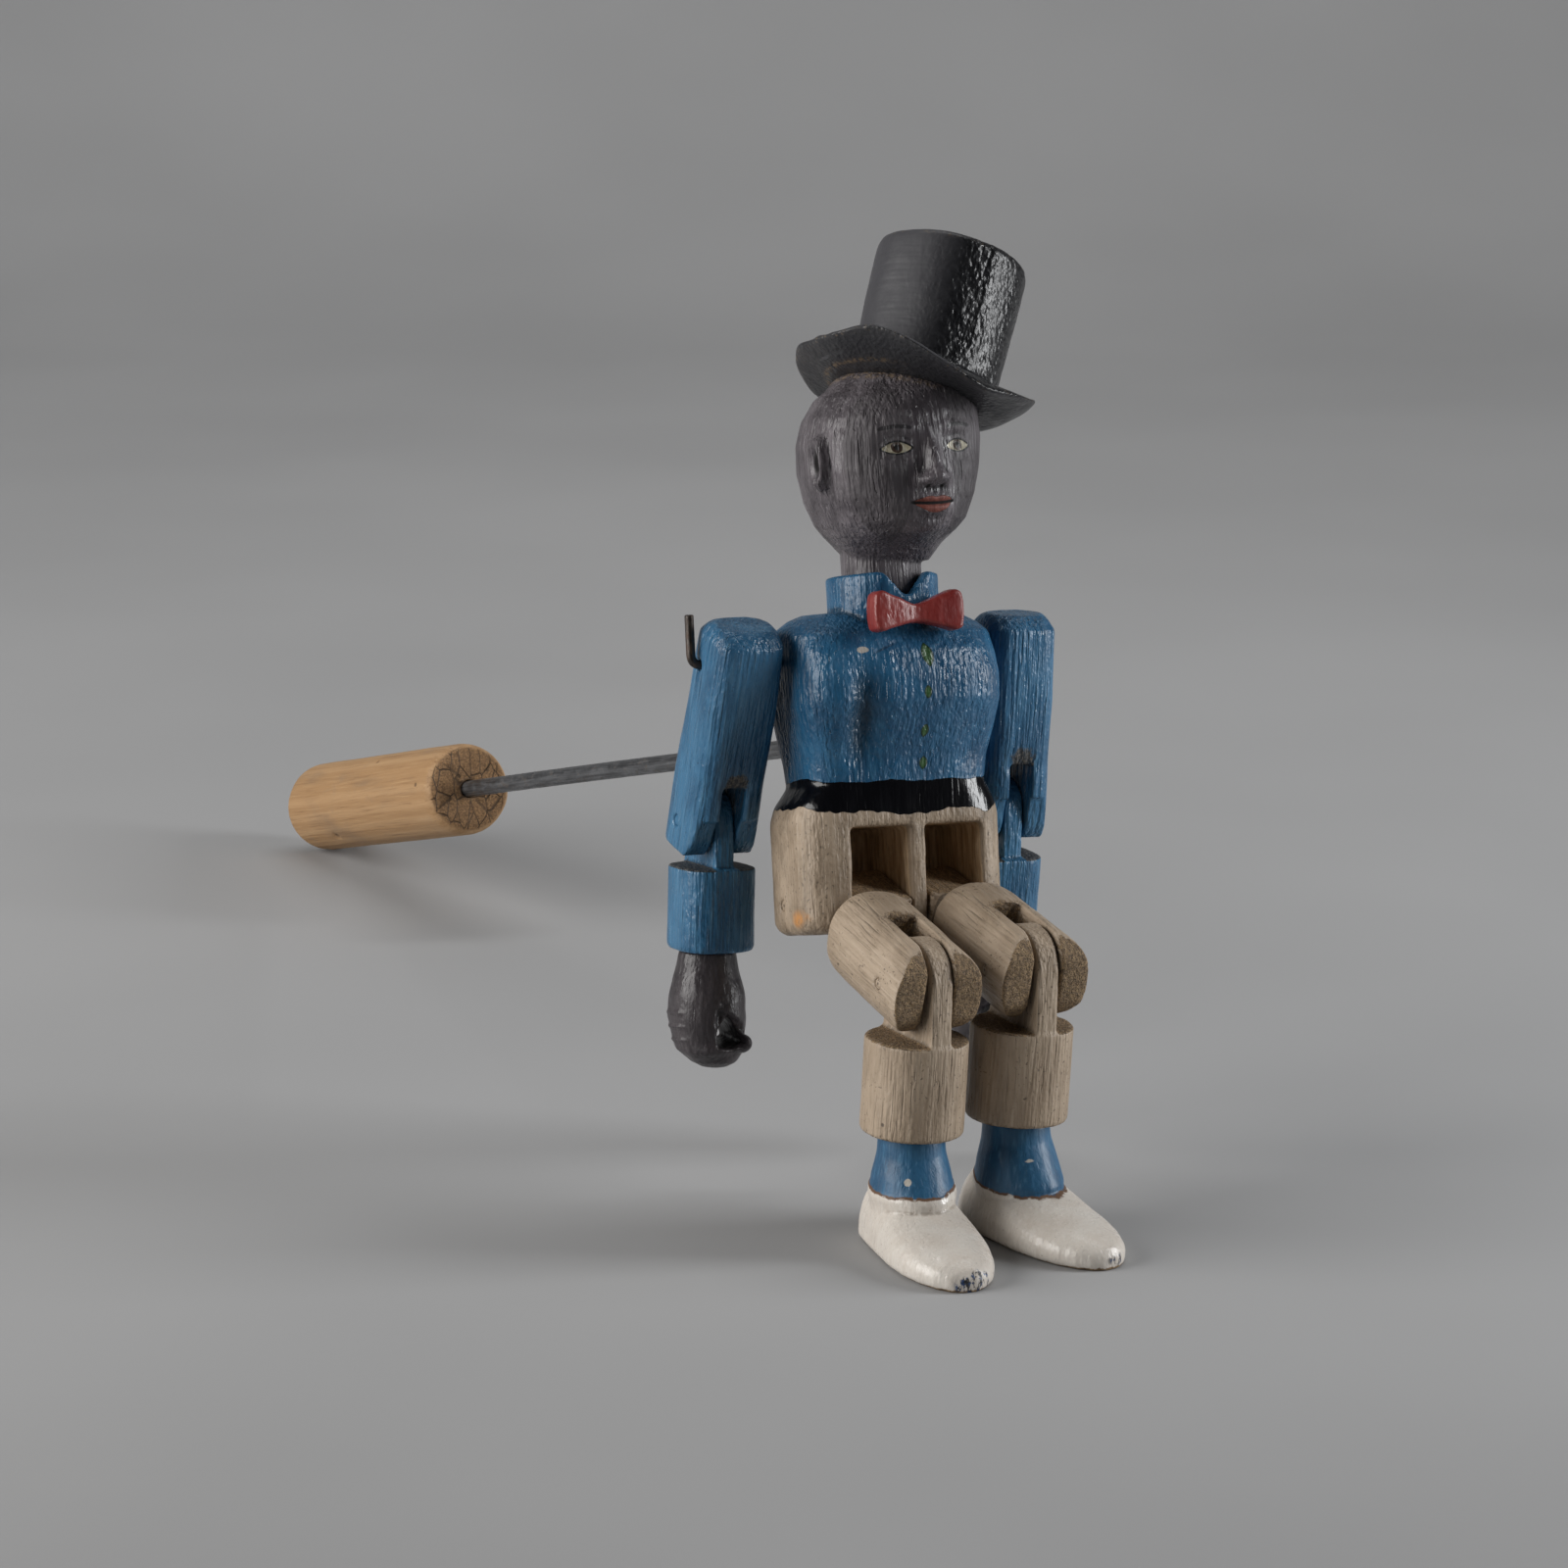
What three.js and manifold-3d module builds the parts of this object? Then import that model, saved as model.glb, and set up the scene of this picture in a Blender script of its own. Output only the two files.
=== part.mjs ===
// Jig doll: a jointed wooden figure in a top hat, held out on a steel rod with a turned wooden handle.
// Millimetres, +Z up. The figure faces -Y and its left hand is on +X. The soles stand on z = 0, and the
// origin is on the table top, below the middle of the whole piece with its rod and handle.

import * as THREE from 'three';
import { mergeVertices } from 'three/addons/utils/BufferGeometryUtils.js';
import Module from 'manifold-3d';

const wasm = await Module();
wasm.setup();

// ---------------------------------------------------------------- driving dimensions

const GAP = 0.3; // clearance between pieces that touch
const PIN_PLAY = 0.35; // extra radius of the bores the loose pins run in

// point below the middle of the hip pin, from the origin
const HIP_X = -2.19;
const HIP_Y = -151.06;

// crouch: angles in degrees from hanging straight down along the trunk
const HIP_HEIGHT = 74.3; // hip pin above the table
const TRUNK_LEAN = 15.3; // trunk leans back
const TRUNK_ROLL = 4.0; // and to its left
const RIGHT_SHOULDER = 26.0;
const RIGHT_ELBOW = -16.5;
const LEFT_SHOULDER = 13.0;
const LEFT_ELBOW = 2.0;
const RIGHT_HIP = -64.8;
const RIGHT_KNEE = 80.1;
const LEFT_HIP = -67.2;
const LEFT_KNEE = 82.5;
const RIGHT_SPLAY = -3.6; // sideways set of each calf on its loose pin
const LEFT_SPLAY = -1.8;
const RIGHT_TOE_OUT = -5.0;
const LEFT_TOE_OUT = 10.0;

// trunk, heights above the hip pin
const TRUNK_HALF_WIDTH = 27.8;
const PELVIS_HALF_DEPTH = 14.7;
const PELVIS_BOTTOM = -7.6;
const BELT_BOTTOM = 18.5;
const BELT_TOP = 27.5;
const SHOULDER_TOP = 71.4;
const COLLAR_RADIUS = 14.0;
const COLLAR_TOP = 80.5;
const COLLAR_SETBACK = -4.6; // collar and neck axis, in front of the trunk's middle
const NECK_RADIUS = 10.0;
const HIP_SLOT_INNER = 2.0;
const HIP_SLOT_OUTER = 18.2;
const HIP_SLOT_SHIFT = 1.2; // both slots sit a little towards the left leg
const HIP_SLOT_TOP = 18.2;
const HIP_SLOT_BACK = 11.6;

// pins and shoulder wire
const PIN_RADIUS = 1.2;
const HIP_SETBACK = 3.0; // hip pin behind the trunk's middle
const ELBOW_SETBACK = 1.6; // elbow pin behind the arm's middle
const WIRE_RADIUS = 1.15;
const WIRE_HEIGHT = 60.0; // above the hip pin
const WIRE_SETBACK = 2.6; // behind the middle of the trunk and arms
const WIRE_RIGHT_RISE = 12.5;
const WIRE_LEFT_RISE = 11.5; // the left end also leans back
const WIRE_LEFT_BACK = 11.0;

// arms
const RIGHT_ARM_X = -38.6; // middle of each arm
const LEFT_ARM_X = 37.8;
const ARM_WIDTH = 19.0;
const ARM_DEPTH = 19.4;
const ARM_ABOVE_WIRE = 11.4;
const RIGHT_ARM_LENGTH = 41.5; // shoulder wire to elbow pin
const LEFT_ARM_LENGTH = 38.6;
const ELBOW_FORK_END = 7.2; // fork past the elbow pin
const ELBOW_FORK_RADIUS = 9.3;
const ELBOW_SLOT = 6.4;
const ELBOW_SLOT_DEPTH = 12.6; // slot above the elbow pin
const ELBOW_TONGUE = 5.2;
const FOREARM_SHOULDER = 11.5; // elbow pin to the forearm's cut shoulders
const FOREARM_END = 32.5; // elbow pin to the cuff
const FOREARM_WIDTH = 19.8;
const HAND_LENGTH = 29.4;

// legs
const LEG_X = 14.35; // middle of each leg, either side of LEG_SHIFT
const LEG_SHIFT = 0.75;
const THIGH_LENGTH = 47.2; // hip pin to knee pin
const THIGH_RADIUS = 11.8;
const THIGH_START = 17.0; // hip pin to the full-width part of the thigh
const KNEE_FORK_END = 10.4; // fork past the knee pin
const KNEE_FORK_RADIUS = 11.8;
const KNEE_SLOT = 7.6;
const KNEE_SLOT_DEPTH = 14.2; // slot above the knee pin
const KNEE_TONGUE = 5.6;
const CALF_SHOULDER = 13.8; // knee pin to the calf's cut shoulders
const CALF_END = 37.4; // knee pin to the trouser hem
const CALF_RADIUS = 12.5;
const ANKLE_RADIUS = 7.9;
const SHOE_LENGTH = 51.4;
const SHOE_HEEL = 13.5; // heel behind the ankle's axis
const SOLE_CUT = 1.2; // depth worn flat under the shoe

// head and hat
const HEAD_X = 2.0; // head off the neck's axis
const HEAD_Y = -2.5;
const HEAD_NOD = 3.0; // degrees forward of the trunk
const HEAD_ROLL = -2.0;
const HEAD_TURN = 2.0; // degrees to its left
const HAT_SEAT = 45.6; // brim above the collar
const HAT_X = 7.5;
const HAT_Y = -2.0;
const HAT_NOD = -7.0;
const HAT_TILT = 23.5;
const CROWN_RADIUS = 18.4;
const CROWN_SHIFT = 2.5; // crown off the middle of the brim
const CROWN_HEIGHT = 37.2;
const BRIM_RADIUS = 30.6;
const BRIM_UNDERSIDE = -2.6; // at the middle, where the hat sits on the head
const BRIM_CURL = 5.6; // rise of the brim's rolled sides
const BRIM_CURL_TURN = 10.0; // degrees the rolled sides are turned towards front right
const BRIM_DIP = 3.2; // fall of its front and back

// rod and handle
const ROD_RADIUS = 2.38;
const ROD_HEIGHT = 40.8; // above the hip pin, along the trunk
const HANDLE_START = 266.0; // from the trunk's middle, along the rod
const HANDLE_LENGTH = 118.0;
const HANDLE_RADIUS = 13.5;

// ---------------------------------------------------------------- materials

const paint = (name, color, roughness, metalness = 0) =>
  new THREE.MeshStandardMaterial({ name, color, roughness, metalness });

const blue = paint('shirt_blue', 0x2f5a82, 0.45);
const cream = paint('trouser_cream', 0xb3a58c, 0.6);
const skin = paint('head_charcoal', 0x34302f, 0.5);
const black = paint('hat_black', 0x1b1c20, 0.35);
const red = paint('tie_red', 0xa33f38, 0.45);
const white = paint('shoe_white', 0xc5bfb0, 0.4);
const rawWood = paint('handle_wood', 0xa97a50, 0.75);
const steel = paint('rod_steel', 0x55565a, 0.5, 0.9);
const wire = paint('wire_steel', 0x3a3230, 0.6, 0.8);

// ---------------------------------------------------------------- solids

function solid(geometry) {
  const plain = geometry.index ? geometry.clone() : mergeVertices(geometry.clone());
  plain.deleteAttribute('normal');
  plain.deleteAttribute('uv');
  const merged = mergeVertices(plain, 1e-4);
  return new wasm.Manifold(new wasm.Mesh({
    numProp: 3,
    vertProperties: new Float32Array(merged.attributes.position.array),
    triVerts: new Uint32Array(merged.index.array),
  }));
}

function geometryOf(manifold) {
  const mesh = manifold.getMesh();
  const geometry = new THREE.BufferGeometry();
  geometry.setAttribute('position', new THREE.BufferAttribute(new Float32Array(mesh.vertProperties), 3));
  geometry.setIndex(new THREE.BufferAttribute(new Uint32Array(mesh.triVerts), 1));
  geometry.computeVertexNormals();
  return geometry;
}

function named(name, manifold, material) {
  const mesh = new THREE.Mesh(geometryOf(manifold), material);
  mesh.name = name;
  return mesh;
}

function box(x0, x1, y0, y1, z0, z1) {
  const geometry = new THREE.BoxGeometry(x1 - x0, y1 - y0, z1 - z0);
  geometry.translate((x0 + x1) / 2, (y0 + y1) / 2, (z0 + z1) / 2);
  return solid(geometry);
}

function cylinderX(radius, x0, x1, y = 0, z = 0, segments = 20) {
  const geometry = new THREE.CylinderGeometry(radius, radius, x1 - x0, segments);
  geometry.rotateZ(Math.PI / 2);
  geometry.translate((x0 + x1) / 2, y, z);
  return solid(geometry);
}

function cylinderY(radius, y0, y1, x = 0, z = 0, segments = 20) {
  const geometry = new THREE.CylinderGeometry(radius, radius, y1 - y0, segments);
  geometry.translate(x, (y0 + y1) / 2, z);
  return solid(geometry);
}

// A profile in the side plane (y, z), given as a Shape, drawn out along X between two faces.
function slabX(shape, x0, x1, curveSegments = 10) {
  const geometry = new THREE.ExtrudeGeometry(shape, {
    depth: x1 - x0,
    bevelEnabled: false,
    curveSegments,
  });
  geometry.applyMatrix4(new THREE.Matrix4().set(
    0, 0, 1, x0,
    1, 0, 0, 0,
    0, 1, 0, 0,
    0, 0, 0, 1,
  ));
  return solid(geometry);
}

// A body carved along Z through stations { z, wide, front, back, square }: half-width, depth in front of
// and behind the middle, and how square the section is (2 is an ellipse). dx and dy move the section.
function carved(stations, segments = 40) {
  const geometry = new THREE.CylinderGeometry(1, 1, 1, segments, stations.length - 1);
  const position = geometry.attributes.position;
  for (let i = 0; i < position.count; i += 1) {
    const across = position.getX(i);
    const along = -position.getZ(i);
    const row = Math.round((position.getY(i) + 0.5) * (stations.length - 1));
    const { z, wide, front, back = front, square = 2, dx = 0, dy = 0 } = stations[row];
    const reach = Math.hypot(across, along);
    const angle = Math.atan2(along, across);
    const power = 2 / square;
    const depth = along < 0 ? front : back;
    const x = wide * reach * Math.sign(across) * Math.abs(Math.cos(angle)) ** power;
    const y = depth * reach * Math.sign(along) * Math.abs(Math.sin(angle)) ** power;
    position.setXYZ(i, x + dx, y + dy, z);
  }
  return solid(geometry);
}

function frame(parent, position, rotation = [0, 0, 0]) {
  const group = new THREE.Group();
  group.position.set(...position);
  const [x, y, z] = rotation.map((angle) => THREE.MathUtils.degToRad(angle));
  group.rotation.set(x, y, z, 'YXZ');
  parent.add(group);
  return group;
}

// ---------------------------------------------------------------- trunk

const figure = new THREE.Group();
const trunk = frame(figure, [HIP_X, HIP_Y, HIP_HEIGHT], [-TRUNK_LEAN, TRUNK_ROLL, 0]);

function torsoSolid() {
  const w = TRUNK_HALF_WIDTH;
  const d = PELVIS_HALF_DEPTH;
  let body = carved([
    { z: PELVIS_BOTTOM, wide: w - 2.6, front: d - 3.8, back: d - 2.8, square: 4.5, dx: -0.8 },
    { z: PELVIS_BOTTOM + 1.1, wide: w - 0.9, front: d - 2.2, back: d - 1.0, square: 4.5, dx: -0.8 },
    { z: PELVIS_BOTTOM + 3, wide: w, front: d - 1.2, back: d, square: 4.5, dx: -0.8 },
    { z: BELT_BOTTOM, wide: w, front: d, square: 4.5, dx: -0.7 },
    { z: BELT_BOTTOM + 2, wide: w + 0.1, front: d + 0.4, square: 4.2, dx: -0.6 },
    { z: BELT_TOP - 3, wide: w - 0.8, front: d + 0.2, square: 4, dx: -0.4 },
    { z: BELT_TOP + 1.5, wide: w - 3.4, front: d + 0.4, back: d - 0.6, square: 3.6 },
    { z: 35, wide: w - 2.8, front: d + 1.8, back: d - 0.4, square: 3.6 },
    { z: 42, wide: w - 1.2, front: d + 4.4, back: d, square: 3.8 },
    { z: 49, wide: w - 0.2, front: d + 6.8, back: d + 0.6, square: 4.0 },
    { z: 55, wide: w - 0.2, front: d + 7.2, back: d + 0.6, square: 4.0 },
    { z: 61, wide: w - 0.2, front: d + 5.8, back: d + 0.2, square: 3.6 },
    { z: 66, wide: w - 0.6, front: d + 3.2, back: d - 0.8, square: 3.2 },
    { z: SHOULDER_TOP - 3.4, wide: w - 1.8, front: d + 0.4, back: d - 2.4, square: 2.9 },
    { z: SHOULDER_TOP - 1.4, wide: w - 4.4, front: d - 2, back: d - 4.2, square: 2.6 },
    { z: SHOULDER_TOP, wide: w - 8, front: d - 3.4, back: d - 6.4, square: 2.4 },
  ], 48);
  const collar = carved([
    { z: SHOULDER_TOP - 8, wide: COLLAR_RADIUS - 1, front: COLLAR_RADIUS - 1, dy: COLLAR_SETBACK },
    { z: SHOULDER_TOP + 1, wide: COLLAR_RADIUS, front: COLLAR_RADIUS, dy: COLLAR_SETBACK },
    { z: COLLAR_TOP, wide: COLLAR_RADIUS, front: COLLAR_RADIUS, dy: COLLAR_SETBACK },
  ], 32);
  body = body.add(collar);

  // neck socket, and the collar's open V in front
  const socket = new THREE.CylinderGeometry(NECK_RADIUS + GAP, NECK_RADIUS + GAP, 20, 28);
  socket.rotateX(Math.PI / 2);
  socket.translate(0, COLLAR_SETBACK, COLLAR_TOP - 12 + 10);
  body = body.subtract(solid(socket));
  const opening = new THREE.Shape();
  opening.moveTo(-7, COLLAR_TOP + 1);
  opening.lineTo(-1.2, COLLAR_TOP - 5.6);
  opening.lineTo(1.2, COLLAR_TOP - 5.6);
  opening.lineTo(7, COLLAR_TOP + 1);
  opening.closePath();
  const notch = new THREE.ExtrudeGeometry(opening, { depth: 14, bevelEnabled: false });
  notch.rotateX(Math.PI / 2);
  notch.translate(0, COLLAR_SETBACK - 2, 0);
  body = body.subtract(solid(notch));

  // hip slots, open in front and below
  for (const side of [-1, 1]) {
    const middle = side * (HIP_SLOT_INNER + HIP_SLOT_OUTER) / 2 + HIP_SLOT_SHIFT;
    const half = (HIP_SLOT_OUTER - HIP_SLOT_INNER) / 2;
    const slot = box(middle - half, middle + half, -30, HIP_SLOT_BACK, PELVIS_BOTTOM - 5, HIP_SLOT_TOP);
    body = body.subtract(slot);
  }

  // bores for the shoulder wire, the hip pin and the rod
  body = body.subtract(cylinderX(WIRE_RADIUS + GAP, -40, 40, WIRE_SETBACK, WIRE_HEIGHT, 16));
  body = body.subtract(cylinderX(PIN_RADIUS + GAP, -40, 40, HIP_SETBACK, 0, 16));
  body = body.subtract(cylinderY(ROD_RADIUS + GAP, 3, 40, 0, ROD_HEIGHT, 20));
  return body;
}

trunk.add(named('torso', torsoSolid(), blue));
const hipPin = cylinderX(PIN_RADIUS, -TRUNK_HALF_WIDTH, TRUNK_HALF_WIDTH - 1.4, HIP_SETBACK, 0, 16);
trunk.add(named('hip_pin', hipPin, wire));

// shoulder wire: straight through both arms, its ends bent upwards
function wireSolid() {
  const right = RIGHT_ARM_X - ARM_WIDTH / 2 - 1.8;
  const left = LEFT_ARM_X + ARM_WIDTH / 2 + 1.8;
  const bend = 2.2;
  const point = (x, y, z) => new THREE.Vector3(x, WIRE_SETBACK + y, WIRE_HEIGHT + z);
  const path = new THREE.CurvePath();
  path.add(new THREE.LineCurve3(point(right - 0.3, -0.6, WIRE_RIGHT_RISE), point(right, 0, bend)));
  path.add(new THREE.QuadraticBezierCurve3(
    point(right, 0, bend), point(right, 0, 0), point(right + bend, 0, 0),
  ));
  path.add(new THREE.LineCurve3(point(right + bend, 0, 0), point(left - bend, 0, 0)));
  const up = WIRE_LEFT_RISE;
  const back = WIRE_LEFT_BACK;
  const part = bend / Math.hypot(up, back);
  path.add(new THREE.QuadraticBezierCurve3(
    point(left - bend, 0, 0), point(left, 0, 0), point(left, back * part, up * part),
  ));
  path.add(new THREE.LineCurve3(point(left, back * part, up * part), point(left, back, up)));
  const round = new THREE.Shape();
  round.absarc(0, 0, WIRE_RADIUS, 0, 2 * Math.PI);
  return solid(new THREE.ExtrudeGeometry(round, { steps: 44, extrudePath: path, curveSegments: 5 }));
}

trunk.add(named('shoulder_wire', wireSolid(), wire));

// ---------------------------------------------------------------- rod and handle

function handleSolid() {
  const r = HANDLE_RADIUS;
  const bore = ROD_RADIUS + GAP;
  const profile = [
    [0, 24], [bore, 24], [bore, 0], [r - 3.4, 0], [r - 1.4, 0.9], [r - 0.3, 2.6], [r, 4.6],
    [r, HANDLE_LENGTH - 4.6], [r - 0.4, HANDLE_LENGTH - 2.4], [r - 1.6, HANDLE_LENGTH - 0.8],
    [r - 3.6, HANDLE_LENGTH], [0, HANDLE_LENGTH],
  ].map(([x, y]) => new THREE.Vector2(x, y));
  const geometry = new THREE.LatheGeometry(profile, 32);
  geometry.translate(0, HANDLE_START, 0);
  geometry.translate(0, 0, ROD_HEIGHT);
  return solid(geometry);
}

trunk.add(named('rod', cylinderY(ROD_RADIUS, 3 + GAP, HANDLE_START + 24 - GAP, 0, ROD_HEIGHT, 20), steel));
trunk.add(named('handle', handleSolid(), rawWood));

// ---------------------------------------------------------------- head, hat and tie

const neck = frame(trunk, [0, COLLAR_SETBACK, COLLAR_TOP]);
const skull = frame(neck, [HEAD_X, HEAD_Y, 0], [HEAD_NOD, HEAD_ROLL, HEAD_TURN]);
const hat = frame(skull, [HAT_X, HAT_Y, HAT_SEAT], [HAT_NOD, HAT_TILT, 0]);
skull.updateMatrix();
hat.updateMatrix();

// the skull, facing -Y in its own nodding frame; z = 0 at the top of the collar
function skullSolid() {
  return carved([
    { z: 3, wide: 9.6, front: 7, back: 12.4 },
    { z: 7, wide: 12.6, front: 11.6, back: 17.6 },
    { z: 10, wide: 15.2, front: 18.6, back: 20.0 },
    { z: 13, wide: 17.2, front: 21.4, back: 21.2, square: 2.2 },
    { z: 19, wide: 19.8, front: 22.8, back: 22, square: 2.3 },
    { z: 26, wide: 21.4, front: 23.0, back: 23.2, square: 2.3, dx: 0.3 },
    { z: 33, wide: 21.9, front: 22.8, back: 22.8, square: 2.3, dx: 0.8 },
    { z: 39, wide: 21.2, front: 22.0, back: 21.6, square: 2.2, dx: 1.6 },
    { z: 44, wide: 19.6, front: 20.4, back: 19.4, dx: 2.8 },
    { z: 48, wide: 15.8, front: 15.6, back: 14.2, dx: 4 },
    { z: 51, wide: 10.5, front: 10.5, back: 8.6, dx: 5 },
    { z: 52.5, wide: 5, front: 5, back: 4, dx: 5.6 },
  ], 36);
}

function headSolid() {
  const nose = carved([
    { z: 20.9, wide: 3.4, front: 2.2, back: 4, dy: -21.6 },
    { z: 22.5, wide: 4.2, front: 4.6, back: 4, dy: -21.6 },
    { z: 25.0, wide: 3.0, front: 4.2, back: 4, dy: -21.6 },
    { z: 29.6, wide: 2.1, front: 2.8, back: 4, dy: -21.4 },
    { z: 34.4, wide: 1.6, front: 1, back: 4, dy: -21.0 },
  ], 16);
  let face = skullSolid().add(nose);
  for (const side of [-1, 1]) {
    const ear = carved([
      { z: 21.4, wide: 1.0, front: 1.6, back: 1.6, dx: side * 20.2, dy: -3.6 },
      { z: 23.9, wide: 1.5, front: 2.6, back: 2.6, dx: side * 20.8, dy: -4.0 },
      { z: 28.2, wide: 1.7, front: 3.4, back: 3.4, dx: side * 21.0, dy: -4.4 },
      { z: 32.0, wide: 1.6, front: 3.2, back: 3.2, dx: side * 21.0, dy: -4.4 },
      { z: 34.6, wide: 1.0, front: 2.0, back: 2.0, dx: side * 20.8, dy: -4.4 },
    ], 14);
    face = face.add(ear);
  }
  // top sawn flat, where the hat is glued on
  const sawn = geometryOf(box(-60, 60, -60, 60, BRIM_UNDERSIDE - GAP, 60)).applyMatrix4(hat.matrix);
  face = face.subtract(solid(sawn));
  // neck, running straight down into its socket in the collar
  const placed = solid(geometryOf(face).applyMatrix4(skull.matrix));
  return placed.add(carved([
    { z: -11.6, wide: NECK_RADIUS, front: NECK_RADIUS },
    { z: 2, wide: NECK_RADIUS, front: NECK_RADIUS },
    { z: 9, wide: NECK_RADIUS, front: NECK_RADIUS },
  ], 28));
}

neck.add(named('head', headSolid(), skin));

// hat: crown widening a little upwards, brim rolled up at the sides and dipped front and back
function hatSolid() {
  const r = CROWN_RADIUS;
  const b = BRIM_RADIUS;
  const h = CROWN_HEIGHT;
  const profile = [
    [0, BRIM_UNDERSIDE], [r + 0.6, BRIM_UNDERSIDE + 0.2], [b - 6, -1.6], [b - 2.4, -1.0], [b - 0.6, -0.3],
    [b, 0.5], [b - 0.8, 1.2], [b - 4, 1.3], [r + 1.2, 1.8], [r, 3.0], [r + 0.1, 10], [r + 0.5, 22],
    [r + 0.7, h - 6], [r + 0.2, h - 3.4], [r - 1.4, h - 1.6], [r - 4.4, h - 0.6], [0, h],
  ].map(([x, y]) => new THREE.Vector2(x, y));
  const geometry = new THREE.LatheGeometry(profile, 32);
  geometry.rotateX(Math.PI / 2);
  const position = geometry.attributes.position;
  for (let i = 0; i < position.count; i += 1) {
    const x = position.getX(i);
    const y = position.getY(i);
    const reach = Math.hypot(x, y);
    const past = Math.min(1, Math.max(0, (reach - r - 1.2) / (b - r - 1.2)));
    const side = reach > 0 ? Math.cos(Math.atan2(y, x) - THREE.MathUtils.degToRad(BRIM_CURL_TURN)) ** 2 : 0;
    const lift = past ** 1.5 * (BRIM_CURL * side - BRIM_DIP * (1 - side));
    position.setXYZ(i, x + CROWN_SHIFT * (1 - past), y, position.getZ(i) + lift);
  }
  return solid(geometry);
}

hat.add(named('hat', hatSolid(), black));

function bowTieSolid() {
  const shape = new THREE.Shape();
  shape.moveTo(-11.2, -3.8);
  shape.quadraticCurveTo(-12.0, 0, -11.2, 3.8);
  shape.quadraticCurveTo(-10.4, 4.8, -8.8, 3.9);
  shape.quadraticCurveTo(-4, 2.0, 0, 2.0);
  shape.quadraticCurveTo(4, 2.0, 8.8, 3.9);
  shape.quadraticCurveTo(10.4, 4.8, 11.2, 3.8);
  shape.quadraticCurveTo(12.0, 0, 11.2, -3.8);
  shape.quadraticCurveTo(10.4, -4.6, 8.8, -3.7);
  shape.quadraticCurveTo(4, -2.5, 0, -2.5);
  shape.quadraticCurveTo(-4, -2.5, -8.8, -3.7);
  shape.quadraticCurveTo(-10.4, -4.6, -11.2, -3.8);
  const geometry = new THREE.ExtrudeGeometry(shape, {
    depth: 3.4,
    steps: 1,
    curveSegments: 5,
    bevelEnabled: true,
    bevelThickness: 1,
    bevelSize: 0.8,
    bevelSegments: 2,
  });
  geometry.rotateX(Math.PI / 2);
  geometry.translate(0, -COLLAR_RADIUS + COLLAR_SETBACK - 1 - GAP, COLLAR_TOP - 10.2);
  return solid(geometry);
}

trunk.add(named('bow_tie', bowTieSolid(), red));

// ---------------------------------------------------------------- arms

function roundedSection(z, wide, deep, square = 4, dy = 0) {
  return { z, wide: wide / 2, front: deep / 2, square, dy };
}

function upperArmSolid(length) {
  const w = ARM_WIDTH;
  const d = ARM_DEPTH;
  const end = -length - ELBOW_FORK_END;
  let arm = carved([
    roundedSection(end, w, d + 0.6, 4, -ELBOW_SETBACK),
    roundedSection(-length + 12, w, d + 0.6, 4, -ELBOW_SETBACK),
    roundedSection(-10, w, d, 4, -WIRE_SETBACK),
    roundedSection(ARM_ABOVE_WIRE - 3.5, w - 0.6, d - 0.6, 3.6, -WIRE_SETBACK),
    roundedSection(ARM_ABOVE_WIRE - 1.0, w - 2.6, d - 5, 3, -WIRE_SETBACK),
    roundedSection(ARM_ABOVE_WIRE, w - 4.6, d - 8.6, 2.6, -WIRE_SETBACK),
  ], 32);
  // fork: the end turned round the elbow pin, and the slot for the forearm's tongue
  const outline = new THREE.Shape();
  const r = ELBOW_FORK_RADIUS;
  outline.moveTo(-20, 30);
  outline.lineTo(-20, 4);
  outline.lineTo(-r - 1, 4);
  outline.absarc(0, 0, r, Math.PI, 2 * Math.PI, false);
  outline.lineTo(r + 1, 4);
  outline.lineTo(20, 4);
  outline.lineTo(20, 30);
  outline.closePath();
  const keep = slabX(outline, -20, 20, 12).translate(0, 0, -length);
  const upper = box(-20, 20, -20, 20, -length + 6, 40);
  arm = arm.intersect(keep.add(upper));
  const half = ELBOW_SLOT / 2;
  arm = arm.subtract(box(-half, half, -20, 20, end - 5, -length + ELBOW_SLOT_DEPTH));
  arm = arm.subtract(cylinderX(WIRE_RADIUS + PIN_PLAY, -20, 20, 0, 0, 16));
  return arm.subtract(cylinderX(PIN_RADIUS + GAP, -20, 20, 0, -length, 16));
}

function tongueShape(radius, halfDepth, foot) {
  const shape = new THREE.Shape();
  shape.moveTo(-halfDepth, -foot);
  shape.lineTo(halfDepth, -foot);
  shape.lineTo(radius, 0);
  shape.absarc(0, 0, radius, 0, Math.PI, false);
  shape.closePath();
  return shape;
}

function forearmSolid() {
  const w = FOREARM_WIDTH;
  let arm = carved([
    roundedSection(-FOREARM_END, w - 1.2, w - 1.2, 3.2, -ELBOW_SETBACK),
    roundedSection(-FOREARM_END + 1.2, w, w, 3.2, -ELBOW_SETBACK),
    roundedSection(-FOREARM_SHOULDER, w, w, 3, -ELBOW_SETBACK),
  ], 32);
  const half = ELBOW_TONGUE / 2;
  arm = arm.add(slabX(tongueShape(8.2, 9.4, FOREARM_SHOULDER + 2), -half, half, 10));
  return arm.subtract(cylinderX(PIN_RADIUS + PIN_PLAY, -20, 20, 0, 0, 16));
}

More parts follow.
